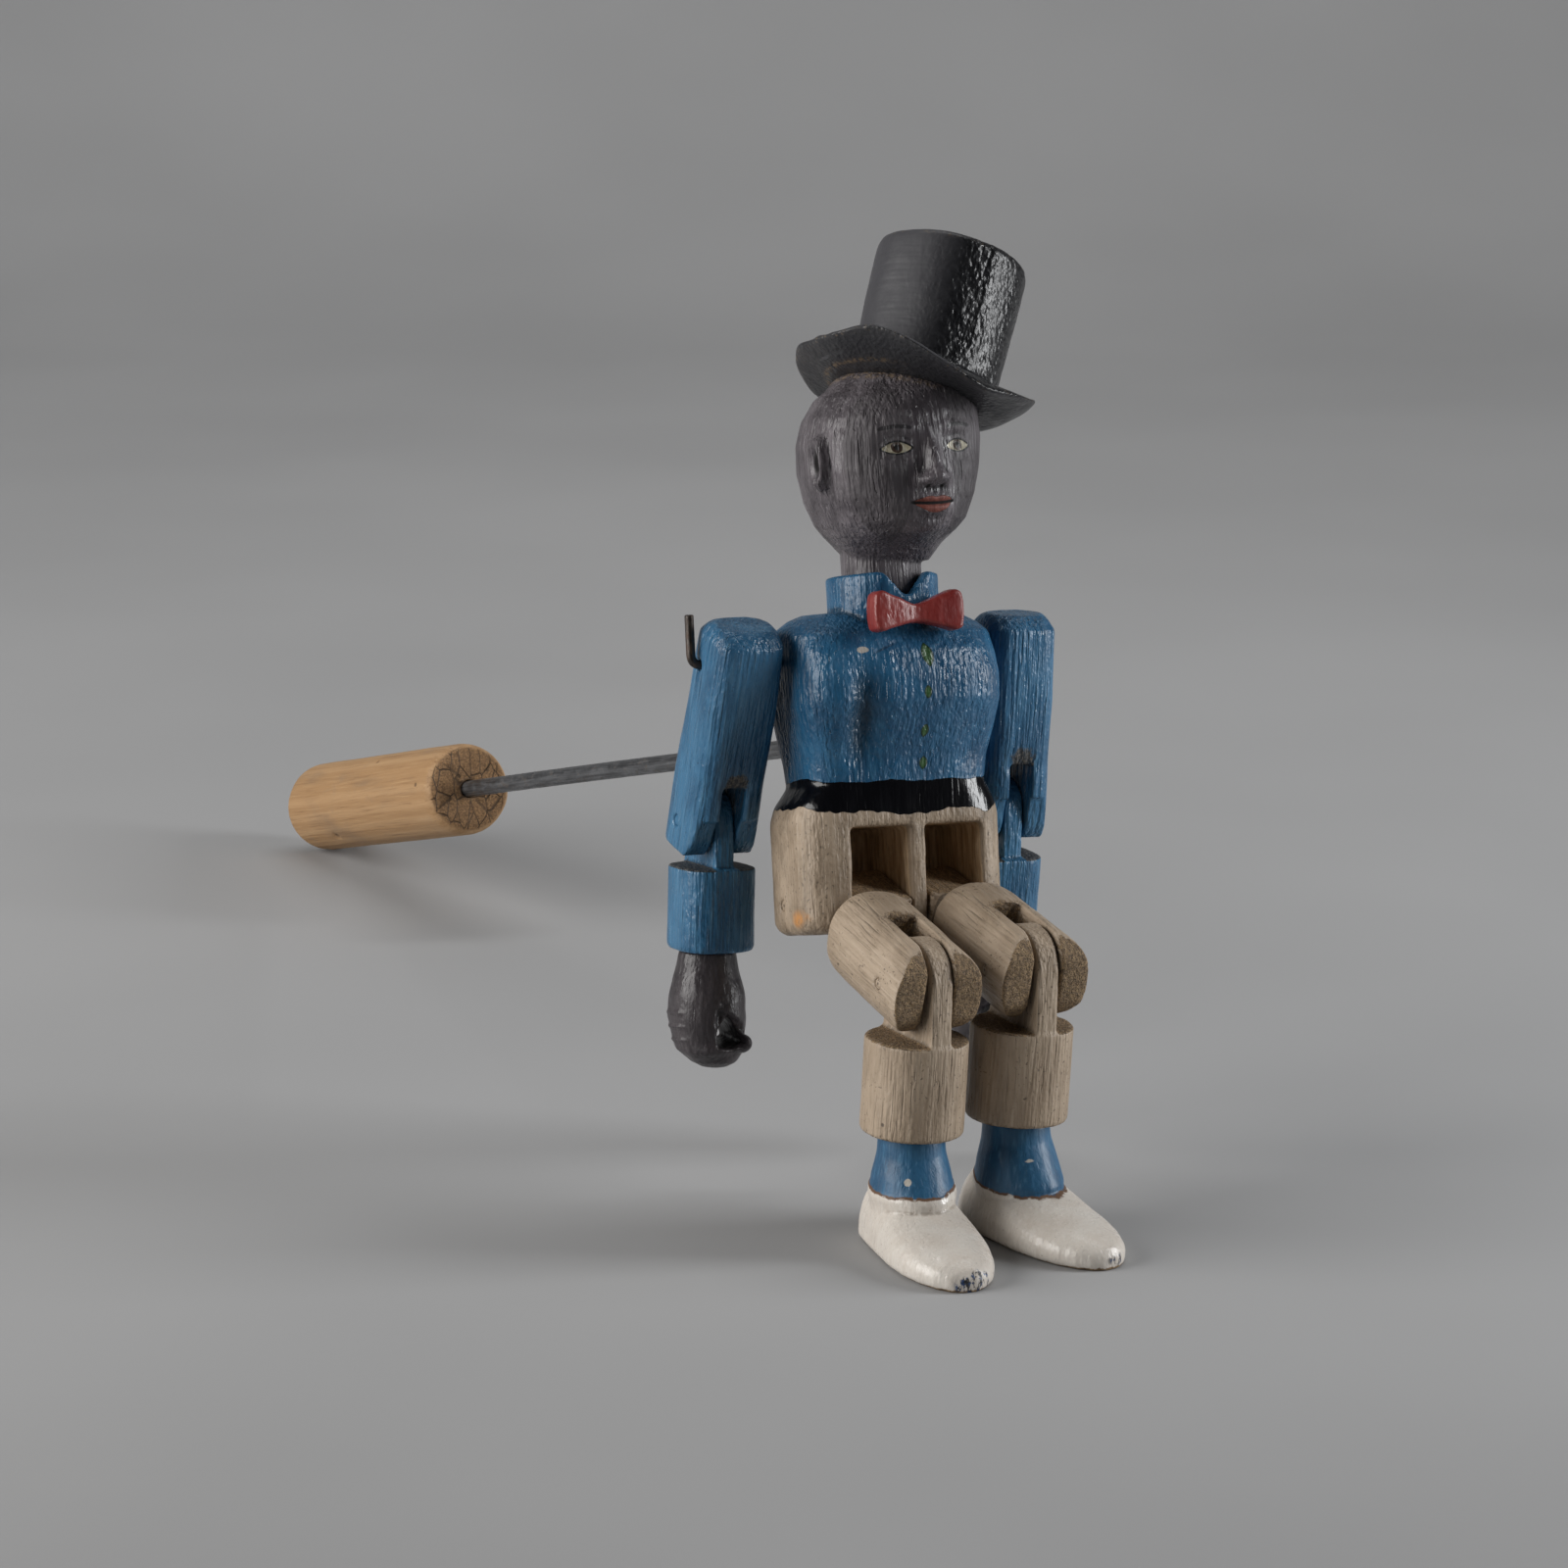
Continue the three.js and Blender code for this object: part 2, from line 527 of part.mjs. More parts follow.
function handSolid() {
  const top = -FOREARM_END - GAP;
  let hand = carved([
    { z: top - HAND_LENGTH, wide: 3.2, front: 3.0, dx: 1.6, dy: -1.8 },
    { z: top - HAND_LENGTH + 1.4, wide: 5.8, front: 5.6, dx: 1.4, dy: -1.6 },
    { z: top - HAND_LENGTH + 4.5, wide: 8.4, front: 8.4, dx: 0.6, dy: -0.8, square: 2.3 },
    { z: top - 17, wide: 9.5, front: 9.6, square: 2.3 },
    { z: top - 11, wide: 9.3, front: 9.2, square: 2.3 },
    { z: top - 5, wide: 7.8, front: 7.6, square: 2.2 },
    { z: top, wide: 7.0, front: 7.0 },
  ], 24);
  const fingertip = new THREE.SphereGeometry(2.5, 10, 8);
  fingertip.translate(5.6, -8.6, top - HAND_LENGTH + 6.4);
  hand = hand.add(solid(fingertip));
  const grip = new THREE.Shape();
  grip.moveTo(-2.8, -2.4);
  grip.quadraticCurveTo(-3.4, 1.6, 0.2, 5.0);
  grip.quadraticCurveTo(3.6, 2.4, 5.0, -1.8);
  grip.quadraticCurveTo(1, -3.8, -2.8, -2.4);
  const hole = new THREE.ExtrudeGeometry(grip, { depth: 40, bevelEnabled: false, curveSegments: 5 });
  hole.rotateX(Math.PI / 2);
  hole.translate(1.6, 20, top - HAND_LENGTH + 8.4);
  return hand.subtract(solid(hole));
}

function addArm(name, x, length, shoulder, elbow) {
  const arm = frame(trunk, [x, WIRE_SETBACK, WIRE_HEIGHT], [shoulder, 0, 0]);
  arm.add(named(`${name}_upper_arm`, upperArmSolid(length), blue));
  const pin = cylinderX(PIN_RADIUS, -ARM_WIDTH / 2 + 0.3, ARM_WIDTH / 2 - 0.3, 0, -length, 16);
  arm.add(named(`${name}_elbow_pin`, pin, wire));
  const forearm = frame(arm, [0, 0, -length], [elbow, 0, 0]);
  forearm.add(named(`${name}_forearm`, forearmSolid(), blue));
  const hand = x < 0 ? handSolid() : handSolid().mirror([1, 0, 0]);
  forearm.add(named(`${name}_hand`, hand, skin));
}

addArm('right', RIGHT_ARM_X, RIGHT_ARM_LENGTH, RIGHT_SHOULDER, RIGHT_ELBOW);
addArm('left', LEFT_ARM_X, LEFT_ARM_LENGTH, LEFT_SHOULDER, LEFT_ELBOW);

// ---------------------------------------------------------------- legs

function thighSolid(side) {
  const r = THIGH_RADIUS;
  const knee = -THIGH_LENGTH;
  let thigh = carved([
    roundedSection(knee - KNEE_FORK_END, 2 * r, 2 * r, 2.3),
    roundedSection(knee + 10, 2 * r, 2 * r, 2.3),
    roundedSection(-THIGH_START - 7, 2 * r, 2 * r, 2.3),
    roundedSection(-THIGH_START - 3, 2 * r - 1.8, 2 * r - 3.4, 2.3),
    roundedSection(-THIGH_START - 1, 2 * r - 4.4, 2 * r - 7.6, 2.3),
    roundedSection(-THIGH_START, 2 * r - 8, 2 * r - 12.6, 2.3),
  ], 32);
  // knee end: turned round the pin behind, softened in front
  const limit = KNEE_FORK_RADIUS;
  const round = cylinderX(limit, -20, 20, 0, knee, 40);
  const upper = box(-20, 20, -20, 20, knee, 10);
  thigh = thigh.intersect(round.add(upper));
  const half = KNEE_SLOT / 2;
  thigh = thigh.subtract(box(-half, half, -20, 20, knee - 20, knee + KNEE_SLOT_DEPTH));
  thigh = thigh.subtract(cylinderX(PIN_RADIUS + GAP, -20, 20, 0, knee, 16));

  // hip tongue, set in from the middle of the leg so that it enters its slot in the pelvis
  const middle = side * ((HIP_SLOT_INNER + HIP_SLOT_OUTER) / 2 - LEG_X) + HIP_SLOT_SHIFT - LEG_SHIFT;
  const tongueHalf = (HIP_SLOT_OUTER - HIP_SLOT_INNER) / 2 - 0.8;
  const outline = tongueShape(7.6, 7.6, THIGH_START + 5);
  const tongue = slabX(outline, middle - tongueHalf, middle + tongueHalf, 10);
  return thigh.add(tongue).subtract(cylinderX(PIN_RADIUS + PIN_PLAY, -20, 20, 0, 0, 16));
}

function calfSolid() {
  const r = CALF_RADIUS;
  let calf = carved([
    roundedSection(-CALF_END, 2 * r - 1.0, 2 * r - 1.0, 2.1),
    roundedSection(-CALF_END + 0.8, 2 * r, 2 * r, 2.1),
    roundedSection(-CALF_SHOULDER, 2 * r, 2 * r, 2.1),
  ], 36);
  const half = KNEE_TONGUE / 2;
  calf = calf.add(slabX(tongueShape(10.8, r - 0.5, CALF_SHOULDER + 2), -half, half, 12));
  return calf.subtract(cylinderX(PIN_RADIUS + PIN_PLAY, -20, 20, 0, 0, 16));
}

// sock and shoe in one piece; z = 0 is the sole and y = 0 the ankle's axis, toe towards -Y
function footSolid(top) {
  const heel = SHOE_HEEL;
  const toe = heel - SHOE_LENGTH;
  const stations = [
    [heel, 5.5, 7.5], [heel - 1.6, 8.6, 14.5], [heel - 5, 10.4, 17.5], [heel - 12, 11.2, 18.0],
    [heel - 20, 11.8, 16.0], [heel - 28, 12.3, 13.2], [heel - 36, 11.8, 10.9], [heel - 42, 10.2, 9.4],
    [heel - 47, 7.8, 8.0], [heel - 50, 5.0, 6.4], [toe, 2.4, 4.4],
  ];
  const shoe = new THREE.CylinderGeometry(1, 1, 1, 28, stations.length - 1);
  const position = shoe.attributes.position;
  for (let i = 0; i < position.count; i += 1) {
    const row = Math.round((0.5 - position.getY(i)) * (stations.length - 1));
    const [y, wide, high] = stations[row];
    const across = position.getX(i);
    const up = -position.getZ(i);
    const reach = Math.hypot(across, up);
    const angle = Math.atan2(up, across);
    const x = wide * reach * Math.sign(across) * Math.abs(Math.cos(angle)) ** 0.85;
    const lobe = up < 0 ? 3.2 : high - 3.2;
    const z = lobe * reach * Math.sign(up) * Math.abs(Math.sin(angle)) ** 0.85;
    position.setXYZ(i, x, y, z + 3.2 - SOLE_CUT);
  }
  shoe.index.array.reverse();
  const sole = box(-40, 40, -80, 40, 0, 40);
  const sock = carved([
    { z: 6, wide: 9.6, front: 13, back: 9.6 },
    { z: 14, wide: 10.4, front: 14.2, back: 9.8 },
    { z: 19, wide: 9.6, front: 11.4, back: 9.2 },
    { z: 24, wide: 8.4, front: 9.0, back: 8.4 },
    { z: top, wide: ANKLE_RADIUS, front: ANKLE_RADIUS },
  ], 28);
  return solid(shoe).intersect(sole).add(sock);
}

function addLeg(name, side, hip, knee, splay, toeOut) {
  const thigh = frame(trunk, [side * LEG_X + LEG_SHIFT, HIP_SETBACK, 0], [hip, 0, 0]);
  thigh.add(named(`${name}_thigh`, thighSolid(side), cream));
  const pin = cylinderX(PIN_RADIUS, -THIGH_RADIUS + 0.5, THIGH_RADIUS - 0.5, 0, -THIGH_LENGTH, 16);
  thigh.add(named(`${name}_knee_pin`, pin, wire));
  const calf = frame(thigh, [0, 0, -THIGH_LENGTH], [knee, splay, 0]);
  calf.add(named(`${name}_calf`, calfSolid(), cream));
  figure.updateMatrixWorld(true);
  const ankle = new THREE.Vector3(0, 0, -CALF_END).applyMatrix4(calf.matrixWorld);
  const foot = frame(figure, [ankle.x, ankle.y, 0], [0, 0, toeOut]);
  foot.updateMatrixWorld(true);
  const aboveHem = geometryOf(box(-20, 20, -20, 20, -CALF_END - GAP, 0));
  aboveHem.applyMatrix4(foot.matrixWorld.clone().invert().multiply(calf.matrixWorld));
  foot.add(named(`${name}_foot`, footSolid(ankle.z + 3).subtract(solid(aboveHem)), white));
}

addLeg('right', -1, RIGHT_HIP, RIGHT_KNEE, RIGHT_SPLAY, RIGHT_TOE_OUT);
addLeg('left', 1, LEFT_HIP, LEFT_KNEE, LEFT_SPLAY, LEFT_TOE_OUT);

export default figure;
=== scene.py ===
import math

import bmesh
import bpy
import numpy as np
from mathutils import Matrix, Vector


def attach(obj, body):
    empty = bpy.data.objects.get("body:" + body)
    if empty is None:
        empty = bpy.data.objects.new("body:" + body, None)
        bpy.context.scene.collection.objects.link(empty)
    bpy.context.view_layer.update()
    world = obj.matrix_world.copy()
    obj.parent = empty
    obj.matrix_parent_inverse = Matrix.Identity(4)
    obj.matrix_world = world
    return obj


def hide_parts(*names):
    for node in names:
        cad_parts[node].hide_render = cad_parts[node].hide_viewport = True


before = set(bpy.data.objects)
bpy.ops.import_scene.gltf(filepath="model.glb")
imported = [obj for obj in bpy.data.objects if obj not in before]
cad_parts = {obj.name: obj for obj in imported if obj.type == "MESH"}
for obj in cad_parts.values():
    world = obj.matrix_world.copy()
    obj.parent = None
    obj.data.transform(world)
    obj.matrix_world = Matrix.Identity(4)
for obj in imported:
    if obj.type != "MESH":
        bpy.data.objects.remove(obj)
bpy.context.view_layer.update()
MM = 0.001
COARSE = 1.0
OUTSIDE = -9.0  # a mask value far outside every painted mark


# ---- places of the figure's parts

def place(parent, position, turn=(0, 0, 0)):
    """A frame at a position in mm in its parent, turned about x, y and z by these degrees."""
    x, y, z = (math.radians(a) for a in turn)
    return (parent @ Matrix.Translation(Vector(position) * MM) @ Matrix.Rotation(y, 4, "Y")
            @ Matrix.Rotation(x, 4, "X") @ Matrix.Rotation(z, 4, "Z"))


ROOT = Matrix.Identity(4)
TRUNK = place(ROOT, (-2.19, -151.06, 74.3), (-15.3, 4, 0))
NECK = place(TRUNK, (0, -4.6, 80.5))
SKULL = place(NECK, (2, -2.5, 0), (3, -2, 2))
HAT_BASE = (7.5, -2, 45.6)
HAT = place(SKULL, HAT_BASE, (-7, 23.5, 0))
ARM_LENGTH = {"right": 41.5, "left": 38.6}
THIGH_LENGTH = 47.2
ARM = {"right": place(TRUNK, (-38.6, 2.6, 60), (26, 0, 0)),
       "left": place(TRUNK, (37.8, 2.6, 60), (13, 0, 0))}
FOREARM = {"right": place(ARM["right"], (0, 0, -ARM_LENGTH["right"]), (-16.5, 0, 0)),
           "left": place(ARM["left"], (0, 0, -ARM_LENGTH["left"]), (2, 0, 0))}
THIGH = {"right": place(TRUNK, (-13.6, 3, 0), (-64.8, 0, 0)),
         "left": place(TRUNK, (15.1, 3, 0), (-67.2, 0, 0))}
CALF = {"right": place(THIGH["right"], (0, 0, -THIGH_LENGTH), (80.1, -3.6, 0)),
        "left": place(THIGH["left"], (0, 0, -THIGH_LENGTH), (82.5, -1.8, 0))}
FOOT = {"right": place(ROOT, (-18.584, -194.651, 0), (0, 0, -5)),
        "left": place(ROOT, (9.932, -194.96, 0), (0, 0, 10))}
ROD_AXIS = place(TRUNK, (0, 0, 40.8), (-90, 0, 0))  # z runs along the rod, away from the back


# ---- numbers

def smooth(x, low, high):
    """A soft ramp from 0 at low to 1 at high; low may be the larger of the two."""
    t = np.clip((x - low) / (high - low), 0, 1)
    return t * t * (3 - 2 * t)


def lattice(ix, iy, iz, seed):
    """A fixed random number from -1 to 1 for each whole-number point."""
    n = (ix * 73856093) ^ (iy * 19349663) ^ (iz * 83492791) ^ (seed * 265443576)
    n = ((n ^ (n >> 13)) * 1274126177) & 0x7FFFFFFF
    n = (n ^ (n >> 11)) & 0xFFFF
    return n / 32767.5 - 1


def noise(p, size, seed=0, octaves=1):
    """Smooth noise from -1 to 1 at points p, with features of the given size in mm."""
    total, weight = 0, 0
    scale = np.broadcast_to(np.asarray(size, float), (3,))
    for k in range(octaves):
        q = p / scale * 2 ** k + 31.7
        cell = np.floor(q).astype(np.int64)
        f = q - cell
        f = f * f * (3 - 2 * f)
        value = 0
        for dx in (0, 1):
            for dy in (0, 1):
                for dz in (0, 1):
                    corner = np.array((dx, dy, dz))
                    w = np.where(corner, f, 1 - f).prod(1)
                    value = value + w * lattice(*(cell + corner).T, seed + 7 * k)
        share = 0.55 ** k
        total = total + value * share
        weight += share
    return total / weight


def bell(x, wide):
    """1 where x is 0, falling off softly over this width."""
    return np.exp(-(x / wide) ** 2)


def hump(a, b, a0, b0, wide, high):
    """A soft round hump, 1 at (a0, b0)."""
    return bell(a - a0, wide) * bell(b - b0, high)


def norms(v):
    """The length of each row."""
    return np.linalg.norm(v, axis=1)


def segment(p, a, b):
    """Distance from points p to the line from a to b."""
    a, b = np.array(a, float), np.array(b, float)
    t = np.clip(((p - a) @ (b - a)) / ((b - a) @ (b - a)), 0, 1)
    return norms(p - a - t[:, None] * (b - a))


def nowhere(p):
    """A mask that marks no point."""
    return np.full(len(p), OUTSIDE)


# ---- meshes

def fetch(items, field, width, kind=np.float32):
    """One field of every vertex or edge, a row each."""
    flat = np.empty(len(items) * width, kind)
    items.foreach_get(field, flat)
    return flat.reshape(-1, width)


def points_of(me):
    return fetch(me.vertices, "co", 3).astype(float) / MM


def normals_of(me):
    return fetch(me.vertex_normals, "vector", 3).astype(float)


def edges_of(me):
    return fetch(me.edges, "vertices", 2, np.int32)


def put(me, p):
    me.vertices.foreach_set("co", (p * MM).astype(np.float32).ravel())
    me.update()


def relax(p, e, times, amount=0.5):
    """Moves each point part of the way to the middle of its neighbours."""
    count = np.maximum(np.bincount(e.ravel(), minlength=len(p)), 1)
    for _ in range(times):
        near = np.empty_like(p)
        for k in range(3):
            near[:, k] = (np.bincount(e[:, 0], p[e[:, 1], k], len(p))
                          + np.bincount(e[:, 1], p[e[:, 0], k], len(p)))
        p = p + amount * (near / count[:, None] - p)
    return p


def mark(me, masks):
    """Puts each mask on the mesh, a value at each point."""
    for name, values in masks.items():
        layer = me.attributes.new(name, "FLOAT", "POINT")
        layer.data.foreach_set("value", np.asarray(values, np.float32))


def wear_map(me):
    """How far each point stands proud of its surroundings: positive on corners, negative in recesses."""
    p, n, e = points_of(me), normals_of(me), edges_of(me)
    mark(me, {"proud": ((p - relax(p, e, 16)) * n).sum(1)})


def finish_piece(name, me, local, body, node, material):
    """Puts a mesh in its place as one visible piece: body carries it, and it stands for the CAD node."""
    obj = link(name, me)
    obj.matrix_world = local
    me.materials.clear()
    me.materials.append(material)
    me.polygons.foreach_set("use_smooth", [True] * len(me.polygons))
    bpy.context.view_layer.update()
    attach(obj, body)
    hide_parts(node)


def link(name, data):
    obj = bpy.data.objects.new(name, data)
    bpy.context.scene.collection.objects.link(obj)
    return obj


def fine_skin(name, node, local, voxel):
    """A CAD solid in its own frame, remade as a mesh of small even faces."""
    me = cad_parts[node].data.copy()
    me.transform(local.inverted())
    bm = bmesh.new()
    bm.from_mesh(me)
    bmesh.ops.remove_doubles(bm, verts=bm.verts, dist=2e-6)
    bm.to_mesh(me)
    bm.free()
    obj = link(name, me)
    skin = obj.modifiers.new("skin", "REMESH")
    skin.mode = "VOXEL"
    skin.voxel_size = voxel * COARSE * MM
    graph = bpy.context.evaluated_depsgraph_get()
    fine = bpy.data.meshes.new_from_object(obj.evaluated_get(graph))
    bpy.data.objects.remove(obj)
    bpy.data.meshes.remove(me)
    fine.name = name
    return fine


def carve(node, local, body, material, shape, masks=None, voxel=0.44, soften=3, made="carved"):
    """A carved wooden piece: its corners softened, knife-worked by shape, then painted.

    shape and masks are given the points in mm and the normals, in the piece's own frame."""
    name = f"{node}_{made}"
    me = fine_skin(name, node, local, voxel)
    e = edges_of(me)
    put(me, relax(points_of(me), e, soften))
    put(me, relax(shape(points_of(me), normals_of(me)), e, 1))
    wear_map(me)
    if masks:
        mark(me, masks(points_of(me), normals_of(me)))
    finish_piece(name, me, local, body, node, material)


def raised(p, n, by):
    """The points moved out along their normals."""
    return p + n * by[:, None]


def knifed(p, n, amount, size, seed):
    """Low, broad unevenness left by hand carving, with a little raised grain."""
    return raised(p, n, noise(p, size, seed, 2) * amount + noise(p, (1.3, 1.3, 14), seed + 3) * 0.05)


def solid(name, points, faces):
    """A closed mesh from points in mm, its faces turned outwards."""
    me = bpy.data.meshes.new(name)
    me.from_pydata([tuple(v) for v in np.array(points) * MM], [], faces)
    bm = bmesh.new()
    bm.from_mesh(me)
    bmesh.ops.recalc_face_normals(bm, faces=bm.faces)
    bm.to_mesh(me)
    bm.free()
    return me


def ring_faces(rings, around):
    """Four-sided faces between neighbouring rings of points."""
    faces = []
    for i in range(rings - 1):
        a, b = i * around, (i + 1) * around
        for k in range(around):
            m = (k + 1) % around
            faces.append((a + k, a + m, b + m, b + k))
    return faces


# the turned end of a bar: how far out each ring lies and how wide it is, as shares of the radius
TURNED_END = ((-0.4, 1.0), (-0.18, 0.93), (-0.06, 0.78), (-0.02, 0.5), (-0.01, 0.2))


def sweep(name, points, radius, local, body, node, material, around=24, masks=None):
    """A round bar through the points, with turned ends."""
    points = np.array(points, float)
    first, last = points[0] - points[1], points[-1] - points[-2]
    first, last = first / np.linalg.norm(first), last / np.linalg.norm(last)
    head = [(points[0] + first * radius * out, radius * wide) for out, wide in TURNED_END[::-1]]
    tail = [(points[-1] + last * radius * out, radius * wide) for out, wide in TURNED_END]
    rings = head + [(q, radius) for q in points[1:-1]] + tail
    middles = np.array([q for q, _ in rings])
    along = np.gradient(middles, axis=0)
    along /= norms(along)[:, None]
    side = np.cross(along[0], [0.3, 1, 0.2])
    side /= np.linalg.norm(side)
    verts = []
    for (q, wide), forward in zip(rings, along):
        side = side - forward * (side @ forward)
        side /= np.linalg.norm(side)
        other = np.cross(forward, side)
        for k in range(around):
            a = 2 * math.pi * k / around
            verts.append(q + wide * (math.cos(a) * side + math.sin(a) * other))
    faces = ring_faces(len(rings), around)
    total = len(verts)
    verts += [middles[0], middles[-1]]
    for k in range(around):
        m = (k + 1) % around
        faces.append((m, k, total))
        faces.append((total - around + k, total - around + m, total + 1))
    me = solid(name, verts, faces)
    p = points_of(me)
    put(me, raised(p, normals_of(me), noise(p, 2.2, 5, 2) * 0.05))
    mark(me, {"proud": np.zeros(len(p)), **(masks(points_of(me)) if masks else {})})
    finish_piece(name, me, local, body, node, material)


# ---- materials

class Graph:
    """A material's nodes; colour, rough and normal are the paint laid so far."""
    def __init__(self, name):
        self.material = bpy.data.materials.new(name)
        self.material.use_nodes = True
        self.tree = self.material.node_tree
        self.tree.nodes.clear()
        self.out = self.tree.nodes.new("ShaderNodeOutputMaterial")
        self.shader = self.tree.nodes.new("ShaderNodeBsdfPrincipled")
        self.tree.links.new(self.shader.outputs[0], self.out.inputs[0])
        place_node = self.tree.nodes.new("ShaderNodeTexCoord")
        self.mm = self.vector("SCALE", place_node.outputs["Object"], scale=1000)

    def set(self, socket, value):
        """Joins another socket or a mask, by its name, to this one, or gives it a fixed value."""
        if isinstance(value, str):
            value = self.attr(value)
        if isinstance(value, bpy.types.NodeSocket):
            self.tree.links.new(value, socket)
        elif socket.type == "RGBA":
            socket.default_value = (*value, 1)
        else:
            socket.default_value = value

    def vector(self, operation, a, b=None, scale=None):
        node = self.tree.nodes.new("ShaderNodeVectorMath")
        node.operation = operation
        self.set(node.inputs[0], a)
        if b is not None:
            self.set(node.inputs[1], b)
        if scale is not None:
            node.inputs["Scale"].default_value = scale
        return node.outputs[0]

    def math(self, operation, a, b=0.5, clamp=False):
        node = self.tree.nodes.new("ShaderNodeMath")
        node.operation = operation
        node.use_clamp = clamp
        self.set(node.inputs[0], a)
        self.set(node.inputs[1], b)
        return node.outputs[0]

    def times(self, a, b):
        return self.math("MULTIPLY", a, b)

    def noise(self, size, stretch=(1, 1, 1), detail=2.0, rough=0.5, twist=0.0, offset=0.0):
        """Features of this size in mm, longer along an axis where stretch is below 1."""
        where = self.vector("MULTIPLY", self.mm, stretch)
        if offset:
            where = self.vector("ADD", where, (offset, offset * 0.7, offset * 1.3))
        node = self.tree.nodes.new("ShaderNodeTexNoise")
        self.set(node.inputs["Vector"], where)
        node.inputs["Scale"].default_value = 1 / size
        node.inputs["Detail"].default_value = detail
        node.inputs["Roughness"].default_value = rough
        node.inputs["Distortion"].default_value = twist
        return node.outputs[0]

    def cells(self, size, stretch=(1, 1, 1), feature="F1"):
        node = self.tree.nodes.new("ShaderNodeTexVoronoi")
        node.feature = feature
        self.set(node.inputs["Vector"], self.vector("MULTIPLY", self.mm, stretch))
        node.inputs["Scale"].default_value = 1 / size
        return node.outputs["Distance"]

    def step(self, value, low, high, to_low=0.0, to_high=1.0):
        """A soft ramp from to_low at low to to_high at high."""
        node = self.tree.nodes.new("ShaderNodeMapRange")
        node.interpolation_type = "SMOOTHSTEP"
        self.set(node.inputs[0], value)
        for k, v in enumerate((low, high, to_low, to_high), 1):
            node.inputs[k].default_value = v
        return node.outputs[0]

    def mix(self, amount, a, b):
        node = self.tree.nodes.new("ShaderNodeMix")
        node.data_type = "RGBA"
        self.set(node.inputs[0], amount)
        self.set(node.inputs[6], a)
        self.set(node.inputs[7], b)
        return node.outputs[2]

    def attr(self, name):
        node = self.tree.nodes.new("ShaderNodeAttribute")
        node.attribute_name = name
        return node.outputs["Fac"]

    def ragged(self, name, mottle, amount):
        """The named mask, its edge broken up by the mottle."""
        return self.math("ADD", name, self.times(self.math("SUBTRACT", mottle, 0.5), amount))

    def bump(self, height, depth, normal=None):
        """depth in mm"""
        node = self.tree.nodes.new("ShaderNodeBump")
        node.inputs["Strength"].default_value = 1.0
        node.inputs["Distance"].default_value = depth * MM
        self.set(node.inputs["Height"], height)
        if normal is not None:
            self.set(node.inputs["Normal"], normal)
        return node.outputs[0]

    def tint(self, mask, colour):
        """Stains the paint laid so far, where mask is 1."""
        self.colour = self.mix(mask, self.colour, colour)

    def cover(self, mask, colour, rough):
        """Lays another paint over what is there, where mask is 1."""
        self.tint(mask, colour)
        node = self.tree.nodes.new("ShaderNodeMix")
        self.set(node.inputs[0], mask)
        self.set(node.inputs[2], self.rough)
        self.set(node.inputs[3], rough)
        self.rough = node.outputs[0]

    def done(self, rough, normal, metallic=0.0, specular=0.5, coat=0.0):
        looks = {"Base Color": self.colour, "Roughness": rough, "Normal": normal, "Metallic": metallic,
                 "Specular IOR Level": specular, "Coat Weight": coat, "Coat Roughness": 0.22}
        for name, value in looks.items():
            self.set(self.shader.inputs[name], value)
        return self.material


GRAIN = (1, 1, 0.055)


def brushed_paint(g, dark, mid, light, seed=0.0):
    """Thin paint over grain: darker where it pooled, lighter on the ridges."""
    broad = g.noise(9, (1, 1, 0.5), 3, 0.55, 0.3, seed + 3)
    streak = g.noise(0.95, GRAIN, 4, 0.6, 0.15, seed + 11)
    colour = g.mix(g.step(broad, 0.33, 0.68), dark, mid)
    colour = g.mix(g.step(streak, 0.5, 0.74, 0, 0.6), colour, light)
    colour = g.mix(g.step(streak, 0.44, 0.26, 0, 0.5), colour, dark)
    return colour


def grain_bump(g, depth, pebble, seed, calm):
    """Ridges along the grain and pebbles of thick paint; calm is 1 where the paint lies smooth."""
    ridges = g.noise(0.95, (1, 1, 0.07), 1.5, 0.45, 0.1, seed + 11)
    lumps = g.noise(1.05, (1, 1, 0.65), 1.5, 0.5, 0.2, seed + 31)
    cuts = g.step(g.noise(0.9, (1, 1, 0.07), 1, 0.4, 0.1, seed + 91), 0.40, 0.30)
    if calm is not None:
        rest = g.math("SUBTRACT", 1.0, g.times(calm, 0.8))
        ridges, lumps, cuts = (g.times(h, rest) for h in (ridges, lumps, cuts))
    n = g.bump(lumps, pebble * 1.3, g.bump(ridges, depth * 1.25))
    return g.bump(cuts, -depth * 0.4, n)


